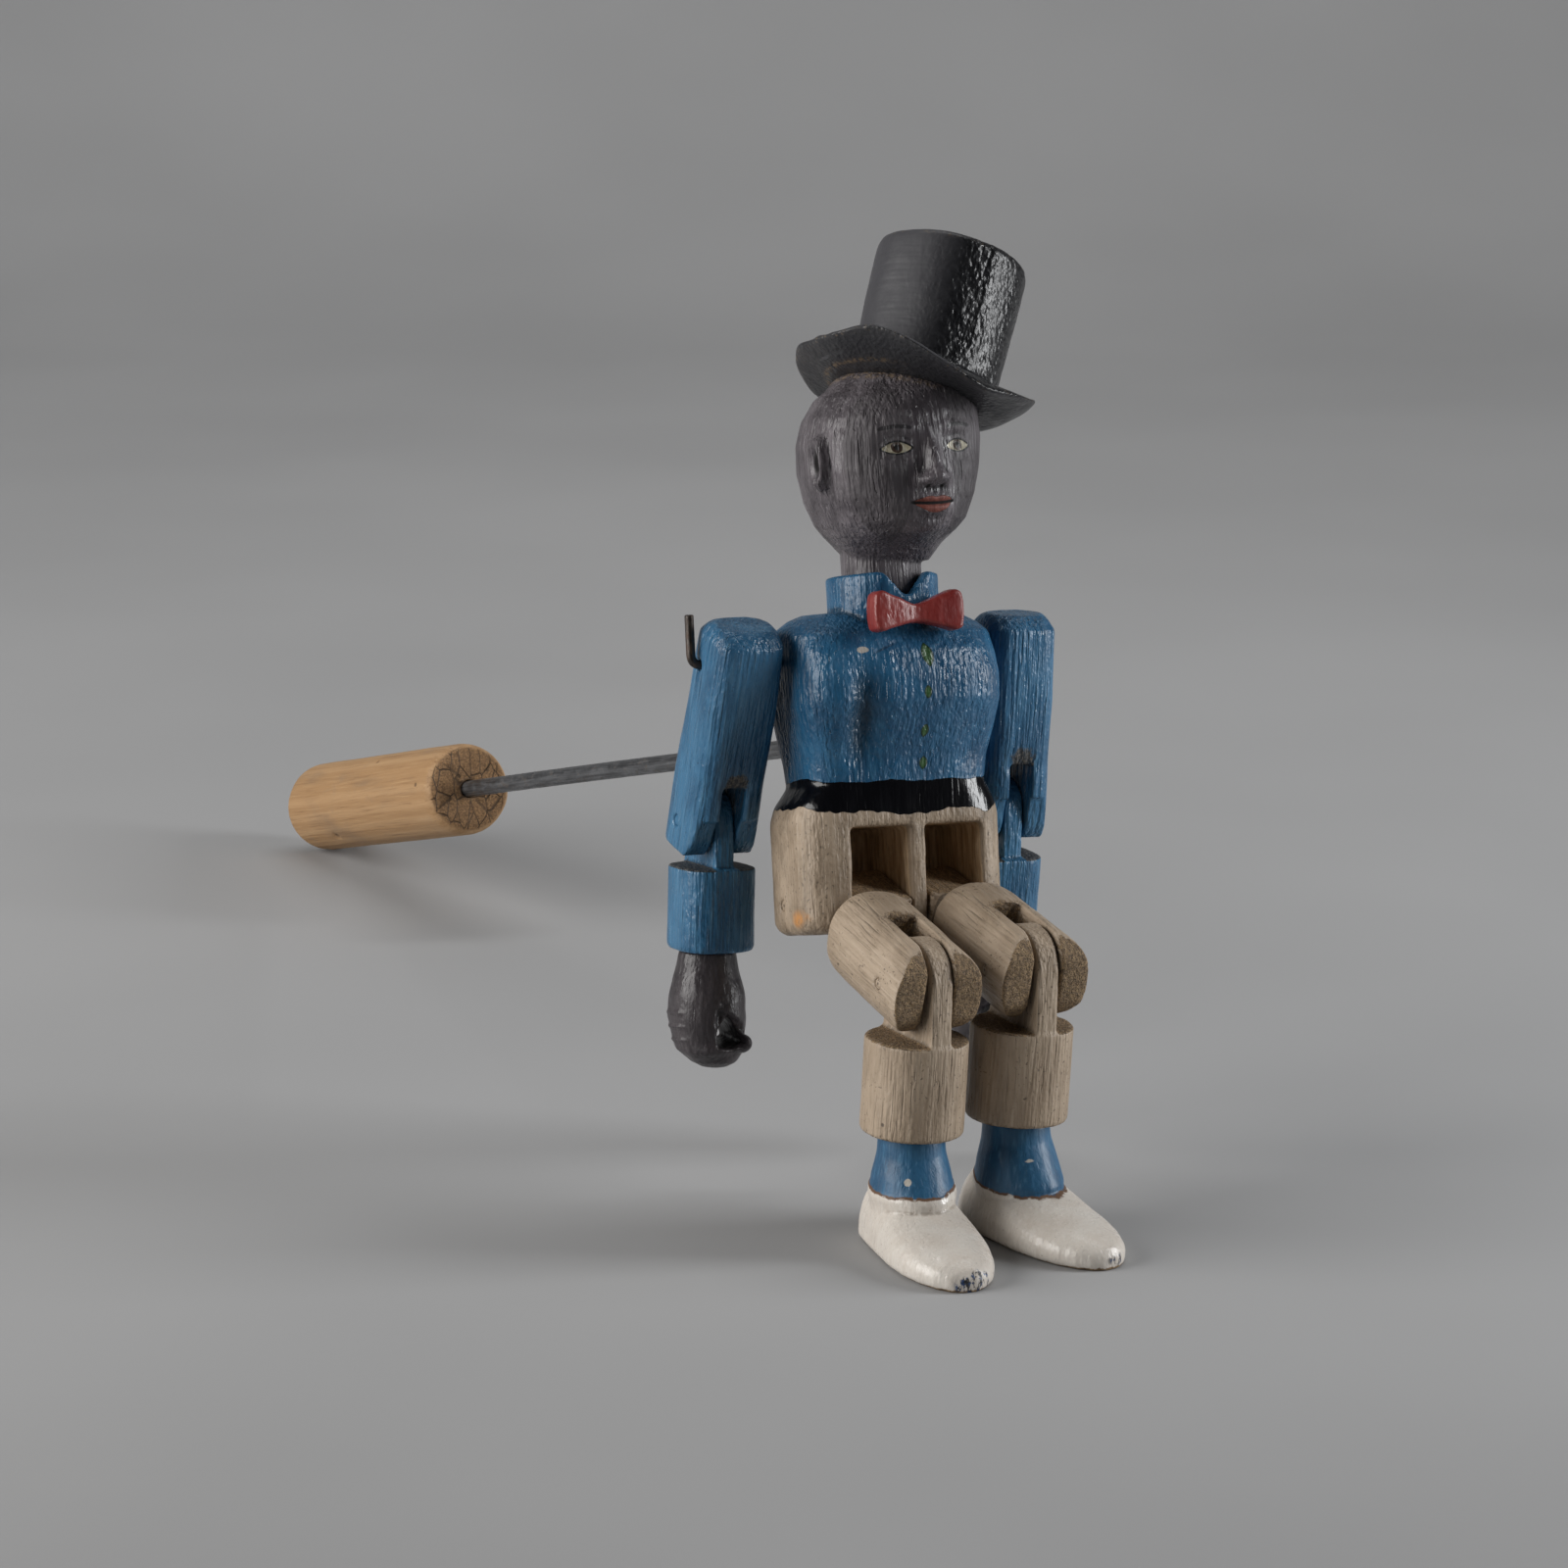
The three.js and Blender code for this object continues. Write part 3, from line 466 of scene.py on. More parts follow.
def painted_wood(name, dark, mid, light, wood, rough, depth, pebble, wear, soil_and_shade, layers=None, seed=0.0,
                 coat=0.0, calm=None):
    """Brushed paint with painted shade and dirt darkening the recesses, specks of dirt, and bare wood on
    rubbed corners; layers adds a piece's marks.

    depth and pebble are the relief in mm, and the mask named by calm marks where it lies smooth."""
    g = Graph(name)
    g.colour = brushed_paint(g, dark, mid, light, seed)
    proud = g.attr("proud")
    mottle = g.noise(1.2, (1, 1, 0.5), 4, 0.7, 0, seed + 41)
    # painted shade and dirt: the recesses are darkened, broken up by the mottle
    recess = g.math("SUBTRACT", g.step(proud, -0.03, -0.22), g.step(mottle, 0.45, 0.8), True)
    g.tint(g.times(recess, 0.75), soil_and_shade)
    speck = g.step(g.noise(0.5, (1, 1, 0.7), 2, 0.5, 0, seed + 51), 0.70, 0.74)
    g.tint(g.times(speck, 0.7), soil_and_shade)
    kept = 0.1 / wear
    rubbed = g.times(g.step(proud, 0.16, 0.34), g.step(mottle, 0.5 + kept, 0.62 + kept))
    g.tint(g.times(rubbed, min(1, wear * 1.4)), wood)
    patches = g.noise(2.5, (1, 1, 0.3), 3, 0.6, 0, seed + 61)
    g.rough = g.step(patches, 0.3, 0.7, rough - 0.12, rough + 0.10)
    g.normal = grain_bump(g, depth, pebble, seed, g.step(calm, -0.06, 0.06) if calm else None)
    if layers:
        layers(g, mottle)
    return g.done(g.rough, g.normal, specular=0.42, coat=coat)


BLUE = ((0.012, 0.068, 0.145), (0.026, 0.120, 0.235), (0.070, 0.200, 0.330))
# painted light: the sleeves take a paler copy of the shirt's blue, so they look more lit than the shirt
SLEEVE_BLUE_LIT = ((0.020, 0.090, 0.180), (0.046, 0.160, 0.290), (0.115, 0.255, 0.390))
CREAM = ((0.300, 0.226, 0.157), (0.425, 0.332, 0.242), (0.530, 0.430, 0.328))
CHARCOAL = ((0.058, 0.050, 0.056), (0.120, 0.106, 0.116), (0.210, 0.190, 0.205))
HAND_CHARCOAL = ((0.026, 0.022, 0.025), (0.058, 0.050, 0.054), (0.098, 0.086, 0.092))
WHITE = ((0.62, 0.56, 0.495), (0.68, 0.635, 0.575), (0.73, 0.69, 0.635))
RED = ((0.185, 0.022, 0.020), (0.265, 0.040, 0.035), (0.35, 0.078, 0.068))
BLACK = (0.006, 0.006, 0.008)
# the shirt's darker blue, for painted shade and dirt in the recesses and for dirt specks
BLUE_SOIL_AND_SHADE = (0.010, 0.024, 0.042)
BARE = (0.40, 0.27, 0.14)
UMBER = (0.13, 0.082, 0.045)


def bare_wood(g, seed):
    rings = g.noise(0.9, (1, 1, 0.4), 4, 0.7, 0.4, seed + 71)
    colour = g.mix(g.step(rings, 0.3, 0.7), UMBER, BARE)
    pits = g.noise(0.35, (1, 1, 1), 2, 0.6, 0, seed + 81)
    return g.mix(g.step(pits, 0.5, 0.62, 0, 0.85), colour, (0.045, 0.03, 0.02))


def torso_layers(g, mottle):
    trouser = brushed_paint(g, *CREAM, seed=5)
    # painted shade: the hollow beside the chest's left side is painted a darker blue
    g.tint(g.step("hollow", 0.1, 0.9, 0, 0.9), (0.003, 0.030, 0.062))
    grime = g.step(g.noise(6, (1, 1, 0.5), 4, 0.65, 0.4, 57), 0.42, 0.68, 0, 0.6)
    trouser = g.mix(grime, trouser, (0.155, 0.115, 0.075))
    below = g.step(g.ragged("trouser", mottle, 0.5), -0.07, 0.07)
    g.cover(below, trouser, 0.52)
    fleck = g.step(g.noise(0.75, (1, 1, 0.8), 1, 0.5, 0, 15), 0.67, 0.71)
    g.tint(g.times(g.times(fleck, below), 0.65), (0.09, 0.07, 0.05))
    # painted light: the bare wood inside the hip slots is painted paler than bare wood elsewhere, so the
    # slots look lit inside
    sawn = g.step(g.noise(1.1, (1, 1, 0.1), 4, 0.65, 0.3, 6), 0.35, 0.7)
    painted_lit_walls = g.mix(sawn, (0.36, 0.235, 0.13), (0.66, 0.50, 0.33))
    inside = g.step(g.ragged("bare", mottle, 1.5), -0.1, 0.5)
    g.cover(g.times(inside, 0.85), painted_lit_walls, 0.75)
    rust = g.times(g.step("rubbed", 0.1, 0.8), g.step(mottle, 0.3, 0.55))
    g.cover(rust, (0.50, 0.235, 0.075), 0.6)
    sheen = g.step(g.noise(1.1, GRAIN, 3, 0.6, 0, 9), 0.5, 0.8)
    leather = g.mix(sheen, (0.002, 0.002, 0.003), (0.007, 0.007, 0.009))
    g.cover(g.step(g.ragged("belt", mottle, 0.7), -0.06, 0.06), leather, 0.17)
    leaf = g.attr("button")
    green = g.mix(g.step(leaf, 0.1, 0.75), (0.006, 0.020, 0.008), (0.035, 0.095, 0.030))
    g.cover(g.step(leaf, -0.03, 0.10), green, 0.33)
    g.cover(g.step("chip", 0.0, 0.16), (0.40, 0.37, 0.33), 0.7)
    g.tint(g.step("scratch", 0.0, 0.4, 0, 0.75), (0.012, 0.02, 0.035))


def arm_layers(g, mottle):
    end = g.step(g.ragged("bare", mottle, 2.2), -0.1, 0.45)
    pits = g.step(g.noise(0.6, (1, 1, 1), 3, 0.7, 0, 77), 0.42, 0.66)
    g.cover(g.times(end, 0.9), g.mix(pits, (0.016, 0.017, 0.019), (0.15, 0.13, 0.10)), 0.62)


def leg_layers(g, mottle):
    fleck = g.step(g.noise(0.75, (1, 1, 0.9), 1, 0.5, 0, 19), 0.66, 0.70)
    where = g.step(g.noise(9, (1, 1, 1), 2, 0.5, 0, 23), 0.38, 0.62, 0.15, 1)
    g.tint(g.times(g.times(fleck, where), 0.8), (0.075, 0.055, 0.04))
    grime = g.step(g.noise(7, (1, 1, 0.6), 3, 0.6, 0, 29), 0.52, 0.75, 0, 0.35)
    g.tint(grime, (0.20, 0.15, 0.095))
    end = g.step(g.ragged("bare", mottle, 4.6), 0.0, 1.0)
    g.cover(g.times(end, 0.9), bare_wood(g, 8), 0.78)
    g.tint(g.step("scratch", 0.0, 0.35, 0, 0.85), (0.05, 0.033, 0.022))
    pores = g.times(g.noise(0.5, (1, 1, 1), 3, 0.7, 0, 44), end)
    g.normal = g.bump(pores, 0.5, g.normal)


def foot_layers(g, mottle):
    sock = brushed_paint(g, *BLUE, seed=6)
    edge = g.ragged("sock", mottle, 0.9)
    g.cover(g.step(edge, -0.07, 0.07), sock, 0.48)
    seam = g.times(g.step(edge, -0.55, -0.2), g.step(edge, 0.36, 0.1))
    seam = g.times(seam, g.step(g.noise(3.1, (1, 1, 1), 2, 0.5, 0, 14), 0.34, 0.46))
    g.cover(seam, (0.13, 0.065, 0.032), 0.7)
    sole = g.step(g.ragged("sole", mottle, 1.6), -0.1, 0.2)
    g.cover(sole, bare_wood(g, 3), 0.75)
    g.cover(g.step("chip", 0.0, 0.2), (0.50, 0.47, 0.42), 0.6)
    toe = g.times(g.step("scuff", 0.0, 1.2), g.step(mottle, 0.46, 0.56))
    patches = g.step(g.noise(0.9, (1, 1, 1), 2, 0.5, 0, 33), 0.45, 0.55)
    navy = g.mix(patches, (0.02, 0.02, 0.022), (0.02, 0.055, 0.15))
    g.cover(toe, navy, 0.45)


def head_layers(g, mottle):
    eye, iris, lip, brow = g.attr("eye"), g.attr("iris"), g.attr("lip"), g.attr("brow")
    g.tint(g.step(brow, -0.05, 0.3, 0, 0.8), BLACK)
    g.cover(g.step(eye, -0.52, -0.30), BLACK, 0.3)
    white = g.mix(g.step(mottle, 0.35, 0.7), (0.34, 0.30, 0.21), (0.56, 0.52, 0.40))
    inside = g.step(eye, 0.0, 0.10)
    g.cover(inside, white, 0.28)
    brown = g.mix(g.step(iris, 0.62, 0.72), (0.045, 0.022, 0.012), (0.004, 0.004, 0.004))
    g.cover(g.times(g.step(iris, 0, 0.09), inside), brown, 0.2)
    g.cover(g.step("glint", 0.0, 0.08), (0.62, 0.60, 0.54), 0.2)
    streak = g.noise(0.8, GRAIN, 3, 0.6, 0, 12)
    rose = g.mix(g.step(streak, 0.35, 0.7), (0.135, 0.036, 0.026), (0.235, 0.075, 0.055))
    g.cover(g.step(lip, -0.04, 0.08), rose, 0.62)
    # painted shade: near-black laid into the line between the lips, the nostrils and the ear hollows
    g.cover(g.step("crease", -0.12, 0.2), (0.006, 0.005, 0.005), 0.95)
    tan = g.times("seat", g.step(mottle, 0.42, 0.6))
    g.tint(g.times(tan, 0.75), (0.20, 0.145, 0.095))


def hat_paint():
    g = Graph("hat_black_paint")
    top = g.noise(1.3, (1, 1, 0.6), 3, 0.6, 0.3, 4)
    g.colour = g.mix(g.step(top, 0.35, 0.75), (0.004, 0.004, 0.005), (0.016, 0.016, 0.018))
    smooth_and_sheen = g.attr("smooth_and_sheen_side")
    # painted sheen: the left side, which faces the key light, and more faintly the underside are painted a
    # paler grey; the paint there also lies smoother
    g.tint(g.times(smooth_and_sheen, 0.7), (0.072, 0.071, 0.079))
    proud = g.attr("proud")
    mottle = g.noise(1.4, (1, 1, 1), 4, 0.7, 0, 9)
    rubbed = g.times(g.step(proud, 0.10, 0.26), g.step(mottle, 0.56, 0.66))
    g.tint(g.times(rubbed, 0.65), (0.16, 0.12, 0.08))
    glue = g.times(g.step("seat", 0.0, 1.0), g.step(mottle, 0.42, 0.56))
    g.tint(g.times(glue, 0.8), (0.24, 0.16, 0.085))
    rough = g.step(g.noise(3, (1, 1, 0.4), 3, 0.6, 0, 19), 0.3, 0.7, 0.24, 0.38)
    rough = g.math("ADD", rough, g.times(smooth_and_sheen, 0.20))
    amount = g.math("SUBTRACT", 1.0, g.times(smooth_and_sheen, 0.9))
    pebbles = g.times(g.cells(1.3, (1, 1, 0.7)), amount)
    lumps = g.times(g.noise(1.15, (1, 1, 0.7), 1, 0.45, 0.2, 29), amount)
    n = g.bump(g.noise(1.4, (0.12, 0.12, 1), 1, 0.4, 0, 39), 0.10)
    n = g.bump(pebbles, 0.16, n)
    n = g.bump(lumps, 0.42, n)
    return g.done(rough, n, specular=0.4, coat=0.05)


def handle_wood():
    g = Graph("handle_raw_wood")
    rings = g.tree.nodes.new("ShaderNodeTexWave")
    rings.wave_type = "RINGS"
    rings.rings_direction = "Z"
    along = g.vector("MULTIPLY", g.mm, (1, 1, 0.012))
    g.set(rings.inputs["Vector"], g.vector("ADD", along, (9.0, 5.0, 0.0)))
    rings.inputs["Scale"].default_value = 0.085
    rings.inputs["Distortion"].default_value = 2.6
    rings.inputs["Detail"].default_value = 3
    rings.inputs["Detail Scale"].default_value = 0.35
    fibre = g.noise(0.8, (1, 1, 0.03), 5, 0.65, 0.2, 3)
    g.colour = g.mix(g.step(rings.outputs["Fac"], 0.2, 0.85), (0.375, 0.220, 0.103), (0.43, 0.262, 0.130))
    g.tint(g.step(fibre, 0.5, 0.8, 0, 0.6), (0.56, 0.37, 0.20))
    g.tint(g.step(fibre, 0.48, 0.25, 0, 0.7), (0.20, 0.105, 0.045))
    hand = g.noise(17, (1, 1, 0.35), 3, 0.6, 0.4, 7)
    g.tint(g.step(hand, 0.5, 0.78, 0, 0.55), (0.145, 0.11, 0.082))
    stain = g.noise(5, (1, 1, 0.5), 3, 0.6, 0.6, 17)
    g.tint(g.step(stain, 0.58, 0.8, 0, 0.5), (0.30, 0.20, 0.12))
    end = g.attr("end")
    pores = g.noise(0.6, (1, 1, 1), 4, 0.7, 0, 27)
    cut = g.mix(g.step(pores, 0.35, 0.7), (0.115, 0.058, 0.024), (0.36, 0.205, 0.09))
    cracks = g.step(g.cells(3.4, (1, 0.45, 1), "DISTANCE_TO_EDGE"), 0.05, 0.0, 0, 0.85)
    cut = g.mix(cracks, cut, (0.03, 0.016, 0.009))
    g.tint(g.times(end, 0.9), cut)
    dent = g.step("proud", -0.02, -0.14, 0, 0.7)
    g.tint(dent, (0.09, 0.055, 0.03))
    worn = g.times(g.step("proud", 0.12, 0.3), 0.5)
    g.tint(worn, (0.17, 0.13, 0.10))
    n = g.bump(fibre, 0.22)
    relief = g.math("ADD", pores, g.times(cracks, -1.2))
    n = g.bump(g.times(relief, end), 0.55, n)
    return g.done(g.step(hand, 0.4, 0.7, 0.62, 0.48), n, specular=0.35)


def metal(name, dark, light, rust, rough, rusty):
    """Drawn steel with rust where its pattern passes the value of rusty."""
    g = Graph(name)
    drawn = g.noise(0.7, (1, 1, 0.05), 3, 0.6, 0, 2)
    g.colour = g.mix(g.step(drawn, 0.3, 0.7), dark, light)
    bloom = g.noise(2.2, (1, 1, 0.5), 4, 0.7, 0.3, 8)
    stain = g.step(bloom, rusty - 0.07, rusty + 0.07)
    g.tint(g.times(stain, 0.8), rust)
    n = g.bump(bloom, 0.12, g.bump(drawn, 0.07))
    roughness = g.step(bloom, 0.35, 0.7, rough - 0.08, rough + 0.2)
    return g.done(roughness, n, metallic=g.step(stain, 0, 1, 0.85, 0.3))


SHIRT = painted_wood(
    "shirt_blue_paint", *BLUE, wood=(0.16, 0.17, 0.16), rough=0.33, depth=0.26, pebble=0.24, wear=0.35,
    soil_and_shade=BLUE_SOIL_AND_SHADE, layers=torso_layers, calm="belt")
# the sleeves' paler blue is painted light, a lit copy of the shirt's paint
SLEEVE = painted_wood(
    "sleeve_blue_lit_paint", *SLEEVE_BLUE_LIT, wood=(0.20, 0.19, 0.16), rough=0.33, depth=0.42, pebble=0.18,
    wear=0.35, soil_and_shade=BLUE_SOIL_AND_SHADE, layers=arm_layers, seed=2)
TROUSER = painted_wood(
    "trouser_cream_paint", *CREAM, wood=(0.26, 0.17, 0.10), rough=0.52, depth=0.36, pebble=0.16, wear=0.75,
    soil_and_shade=(0.10, 0.075, 0.05), layers=leg_layers, seed=4)
SKIN = painted_wood(
    "charcoal_paint", *CHARCOAL, wood=(0.10, 0.09, 0.085), rough=0.40, depth=0.42, pebble=0.12, wear=0.3,
    soil_and_shade=BLACK, layers=head_layers, seed=7, calm="lip")
HAND = painted_wood(
    "hand_charcoal_paint", *HAND_CHARCOAL, wood=(0.10, 0.075, 0.06), rough=0.40, depth=0.08, pebble=0.16,
    wear=0.3, soil_and_shade=BLACK, seed=8)
SHOE = painted_wood(
    "shoe_white_paint", *WHITE, wood=(0.33, 0.26, 0.19), rough=0.34, depth=0.09, pebble=0.10, wear=0.45,
    soil_and_shade=(0.22, 0.17, 0.12), layers=foot_layers, seed=9, coat=0.12)
TIE = painted_wood(
    "tie_red_paint", *RED, wood=(0.55, 0.25, 0.18), rough=0.36, depth=0.04, pebble=0.12, wear=0.5,
    soil_and_shade=(0.07, 0.012, 0.012), seed=10)
BLACK_HAT = hat_paint()
RAW_WOOD = handle_wood()
STEEL = metal("rod_steel", (0.085, 0.087, 0.092), (0.20, 0.205, 0.215), (0.075, 0.062, 0.052), 0.42, 0.60)
WIRE = metal("wire_steel", (0.035, 0.030, 0.027), (0.095, 0.085, 0.078), (0.060, 0.034, 0.020), 0.40, 0.52)


# ---- torso

SLOTS = ((-17.0, -0.8), (3.2, 19.4))  # where each hip slot starts and ends across the pelvis
SHIRT_CUT = ((-11.5, -20.2, 60.2), (-3.5, -19.6, 63.4))
# painted buttons: across, up, half width, half height and lean
BUTTONS = ((3.1, 59.6, 1.7, 3.2, 0.12), (2.4, 50.4, 1.15, 1.9, 0), (2.4, 41.1, 1.15, 1.8, -0.1),
           (2.8, 33.3, 1.2, 1.8, -0.05))


def torso_shape(p, n):
    x, y, z = p.T
    p = knifed(p, n, 0.2, (6, 6, 9), 3)
    # flanks drawn in under each arm, then the front: hollows, the throat and fine knife arcs
    hollow = hump(y, z, 2, 46, 9, 13) * smooth(np.abs(x), 20, 26) * 0.9
    p[:, 0] -= np.sign(x) * hollow
    front = smooth(-y, 4, 12)
    p[:, 1] += front * (hump(x, z, -13.6, 45, 4.4, 13) * 3.0 + hump(x, z, 17, 40, 4.0, 9) * 0.6)
    p[:, 1] += front * smooth(z, 74, 70) * hump(x, z, 0, 69, 9, 3) * 0.8
    arcs = np.hypot(x - 4, z - 68)
    p[:, 1] += front * smooth(x, 3, 8) * smooth(z, 46, 52) * np.sin(arcs * 2 * math.pi / 1.7) * 0.11
    # collar: wings turned outwards beside the open V
    ring = smooth(z, 72, 73.5)
    wing = ring * smooth(-y, 10, 15) * bell(np.abs(x) - 6.0, 2.8)
    p[:, 1] -= wing * smooth(z, 74, 80) * 1.0
    neck = np.hypot(x, y + 4.6)
    foot = bell(z - 71.6, 0.9) * smooth(neck, 12.5, 13.8) * smooth(neck, 17.5, 14.8)
    p[:, 2] -= foot * 0.5
    p[:, 1] += smooth(segment(p, *SHIRT_CUT), 0.7, 0.0) * 0.25
    return p


def torso_masks(p, n):
    x, y, z = p.T
    flat = p * (1, 1, 0)
    wobble = noise(flat, 6.5, 11, 2) * 1.1 + noise(flat, 1.6, 12) * 0.3
    side = smooth(np.abs(x), 21, 27)
    top = 29.4 + wobble * 0.75 + side * 2.2
    bottom = 21.4 + side * 2.0 + noise(flat, 5.0, 13, 2) * 1.4 + noise(flat, 1.5, 14) * 0.35
    middle = (top + bottom) / 2
    bare = nowhere(p)
    for low, high in SLOTS:
        within = np.minimum(np.minimum(x - low + 0.9, high - x + 0.9), 19.3 - z) + noise(p, 1.5, 17, 2) * 0.5
        bare = np.maximum(bare, np.minimum(within * 2, 12.6 - np.abs(y)))
    front = y < -6
    leaf = nowhere(p)
    for across, up, wide, high, lean in BUTTONS:
        a, b = x - across + lean * (z - up), z - up
        leaf = np.maximum(leaf, (1 - np.abs(a) / wide - (b / high) ** 2) * wide)
    chip = 0.9 - np.hypot((x + 13.9) / 1.9, (z - 61.3) / 1.0) + noise(p, 0.9, 15) * 0.2
    rub = 1 - np.hypot(np.hypot(x + 28.2, y + 5.5) / 5.2, (z + 3.6) / 3.4) + noise(p, 2, 16, 2) * 0.35
    # hollow marks where the darker blue of painted shade goes
    return {"hollow": hump(x, z, -14.5, 45, 3.6, 13) * front, "trouser": middle - z,
            "belt": np.minimum(top - z, z - bottom), "bare": bare, "button": np.where(front, leaf, OUTSIDE),
            "chip": np.where(front, chip, OUTSIDE), "rubbed": rub, "scratch": 0.5 - segment(p, *SHIRT_CUT)}


carve("torso", TRUNK, "figure", SHIRT, torso_shape, torso_masks, voxel=0.62, soften=2)


# ---- head

EYE_X, EYE_Z = 8.4, 30.4
MOUTH_Z = 16.7
HAT_UP = np.array((0.3958, 0.1219, 0.9102))  # the hat's axis in the skull's frame
HAT_SEAT = np.array(HAT_BASE) - 2.9 * HAT_UP
# the face's soft forms in mm: across, up, half width, half height and how far they stand out;
# one off the middle is made on both sides
FACE_FORMS = (
    (8.2, 31.0, 4.4, 3.0, -1.9),  # eye socket
    (EYE_X, EYE_Z, 2.9, 1.7, 1.15),  # eyeball
    (7.6, 35.2, 5.2, 1.5, 0.75),  # brow
    (12.0, 24.5, 4.6, 3.6, 0.75),  # cheek
    (3.4, 22.4, 1.5, 1.6, 1.7),  # wing of the nose
    (6.6, 19.6, 1.6, 3.2, -0.35),  # fold beside the mouth
    (2.0, 20.6, 0.9, 0.7, -0.7),  # nostril
    (0, 23.4, 2.3, 2.1, 1.5),  # tip of the nose
    (0, 29.5, 1.9, 4.6, 1.3),  # bridge of the nose
    (0, 17.0, 7.5, 4.6, 0.9),  # round the mouth
    (0, 20.3, 0.9, 1.6, -0.3),  # groove under the nose
    (0, 13.0, 4.4, 0.9, -0.7),  # dip under the lower lip
    (0, 10.6, 4.6, 2.2, 0.8),  # chin
)


def above_mouth(x, z):
    """Height above the line between the lips, which turns up a little at its ends."""
    return z - (MOUTH_Z + 0.012 * x ** 2)


def head_shape(p, n):
    x, y, z = p.T
    p = knifed(p, n, 0.16, (5, 5, 9), 21)
    front = smooth(-y, 6, 14)
    push = np.zeros(len(p))
    for across, up, wide, high, out in FACE_FORMS:
        for side in (-1, 1) if across else (1,):
            push += hump(x, z, side * across, up, wide, high) * out
    gap = above_mouth(x, z)
    push += smooth(np.abs(x), 6.4, 3.4) * bell(gap - 1.15, 0.95) * 0.85
    push += smooth(np.abs(x), 5.6, 2.6) * bell(gap + 1.35, 1.1) * 1.0
    push -= smooth(np.abs(x), 6.2, 4.6) * bell(gap, 0.42) * 0.85
    # lids: a ridge along each upper lid and a finer one below
    for side in (-1, 1):
        u = (x - side * EYE_X) / 3.9
        upper, lower = EYE_Z + 1.75 * (1 - u ** 2), EYE_Z - 1.3 * (1 - u ** 2)
        on = smooth(np.abs(u), 1.1, 0.8)
        push += on * bell(z - upper - 0.35, 0.45) * 0.55
        push += on * bell(z - lower + 0.3, 0.4) * 0.3
    p[:, 1] -= push * front
    # the sawn top runs up into the hat
    top = smooth(n @ HAT_UP, 0.15, 0.6) * smooth((p - HAT_SEAT) @ HAT_UP, -3, -1.2)
    p = p + HAT_UP * top[:, None]
    # ears: a carved rim round a hollow
    for side in (-1, 1):
        cheek = smooth(side * x, 16, 19.5)
        a, b = (y + 4.2) / 3.5, (z - 28.2) / 6.4
        r = np.hypot(a, b)
        rim = bell(r - 0.82, 0.2) * 0.9
        well = bell(r, 0.48) * -1.3
        p[:, 0] += side * cheek * (rim + well)
    return p


def head_masks(p, n):
    x, y, z = p.T
    eye, iris, glint = nowhere(p), nowhere(p), nowhere(p)
    for side in (-1, 1):
        a = x - side * EYE_X
        u = a / 3.75
        upper, lower = EYE_Z + 1.6 * (1 - u ** 2), EYE_Z - 1.2 * (1 - u ** 2)
        eye = np.maximum(eye, np.minimum(upper - z, z - lower))
        iris = np.maximum(iris, 1.42 - np.hypot(a, z - EYE_Z - 0.3))
        glint = np.maximum(glint, 0.28 - np.hypot(a + 0.45, z - EYE_Z - 0.85))
    off = np.abs(x) - 8.6
    brow = 0.62 - np.abs(z - 34.9 - 0.9 * (1 - (off / 5) ** 2)) - smooth(np.abs(off), 3.2, 5.2)
    gap = above_mouth(x, z)
    top = 1.95 * (1 - (x / 5.9) ** 2) - 0.45 * bell(x, 1.1)
    low = -2.35 * (1 - (x / 5.5) ** 2)
    lip = np.minimum(top - gap, gap - low)
    # the line between the lips, the nostrils and the ear hollows take near-black painted shade
    crease = smooth(np.abs(x), 6.3, 5.2) * (0.42 - np.abs(gap))
    nostril = 0.62 - np.hypot(np.abs(x) - 2.0, (z - 20.9) * 1.2)
    ear = np.where(np.abs(x) > 17, 0.5 - np.hypot((y + 4.2) / 3.2, (z - 28.2) / 5.4), OUTSIDE)
    face = y < -12
    masks = {"eye": eye, "iris": iris, "glint": glint, "brow": brow, "lip": lip}
    masks = {k: np.where(face, v, OUTSIDE) for k, v in masks.items()}
    seat = (p - HAT_SEAT) @ HAT_UP + noise(p, 2.5, 23) * 0.5
    masks["seat"] = smooth(seat, -2.2, -0.9) * smooth(x, 8, 0)
    masks["crease"] = np.maximum(np.where(face, np.maximum(crease, nostril), OUTSIDE), ear)
    return masks


carve("head", SKULL, "figure", SKIN, head_shape, head_masks, soften=2)


# ---- hat

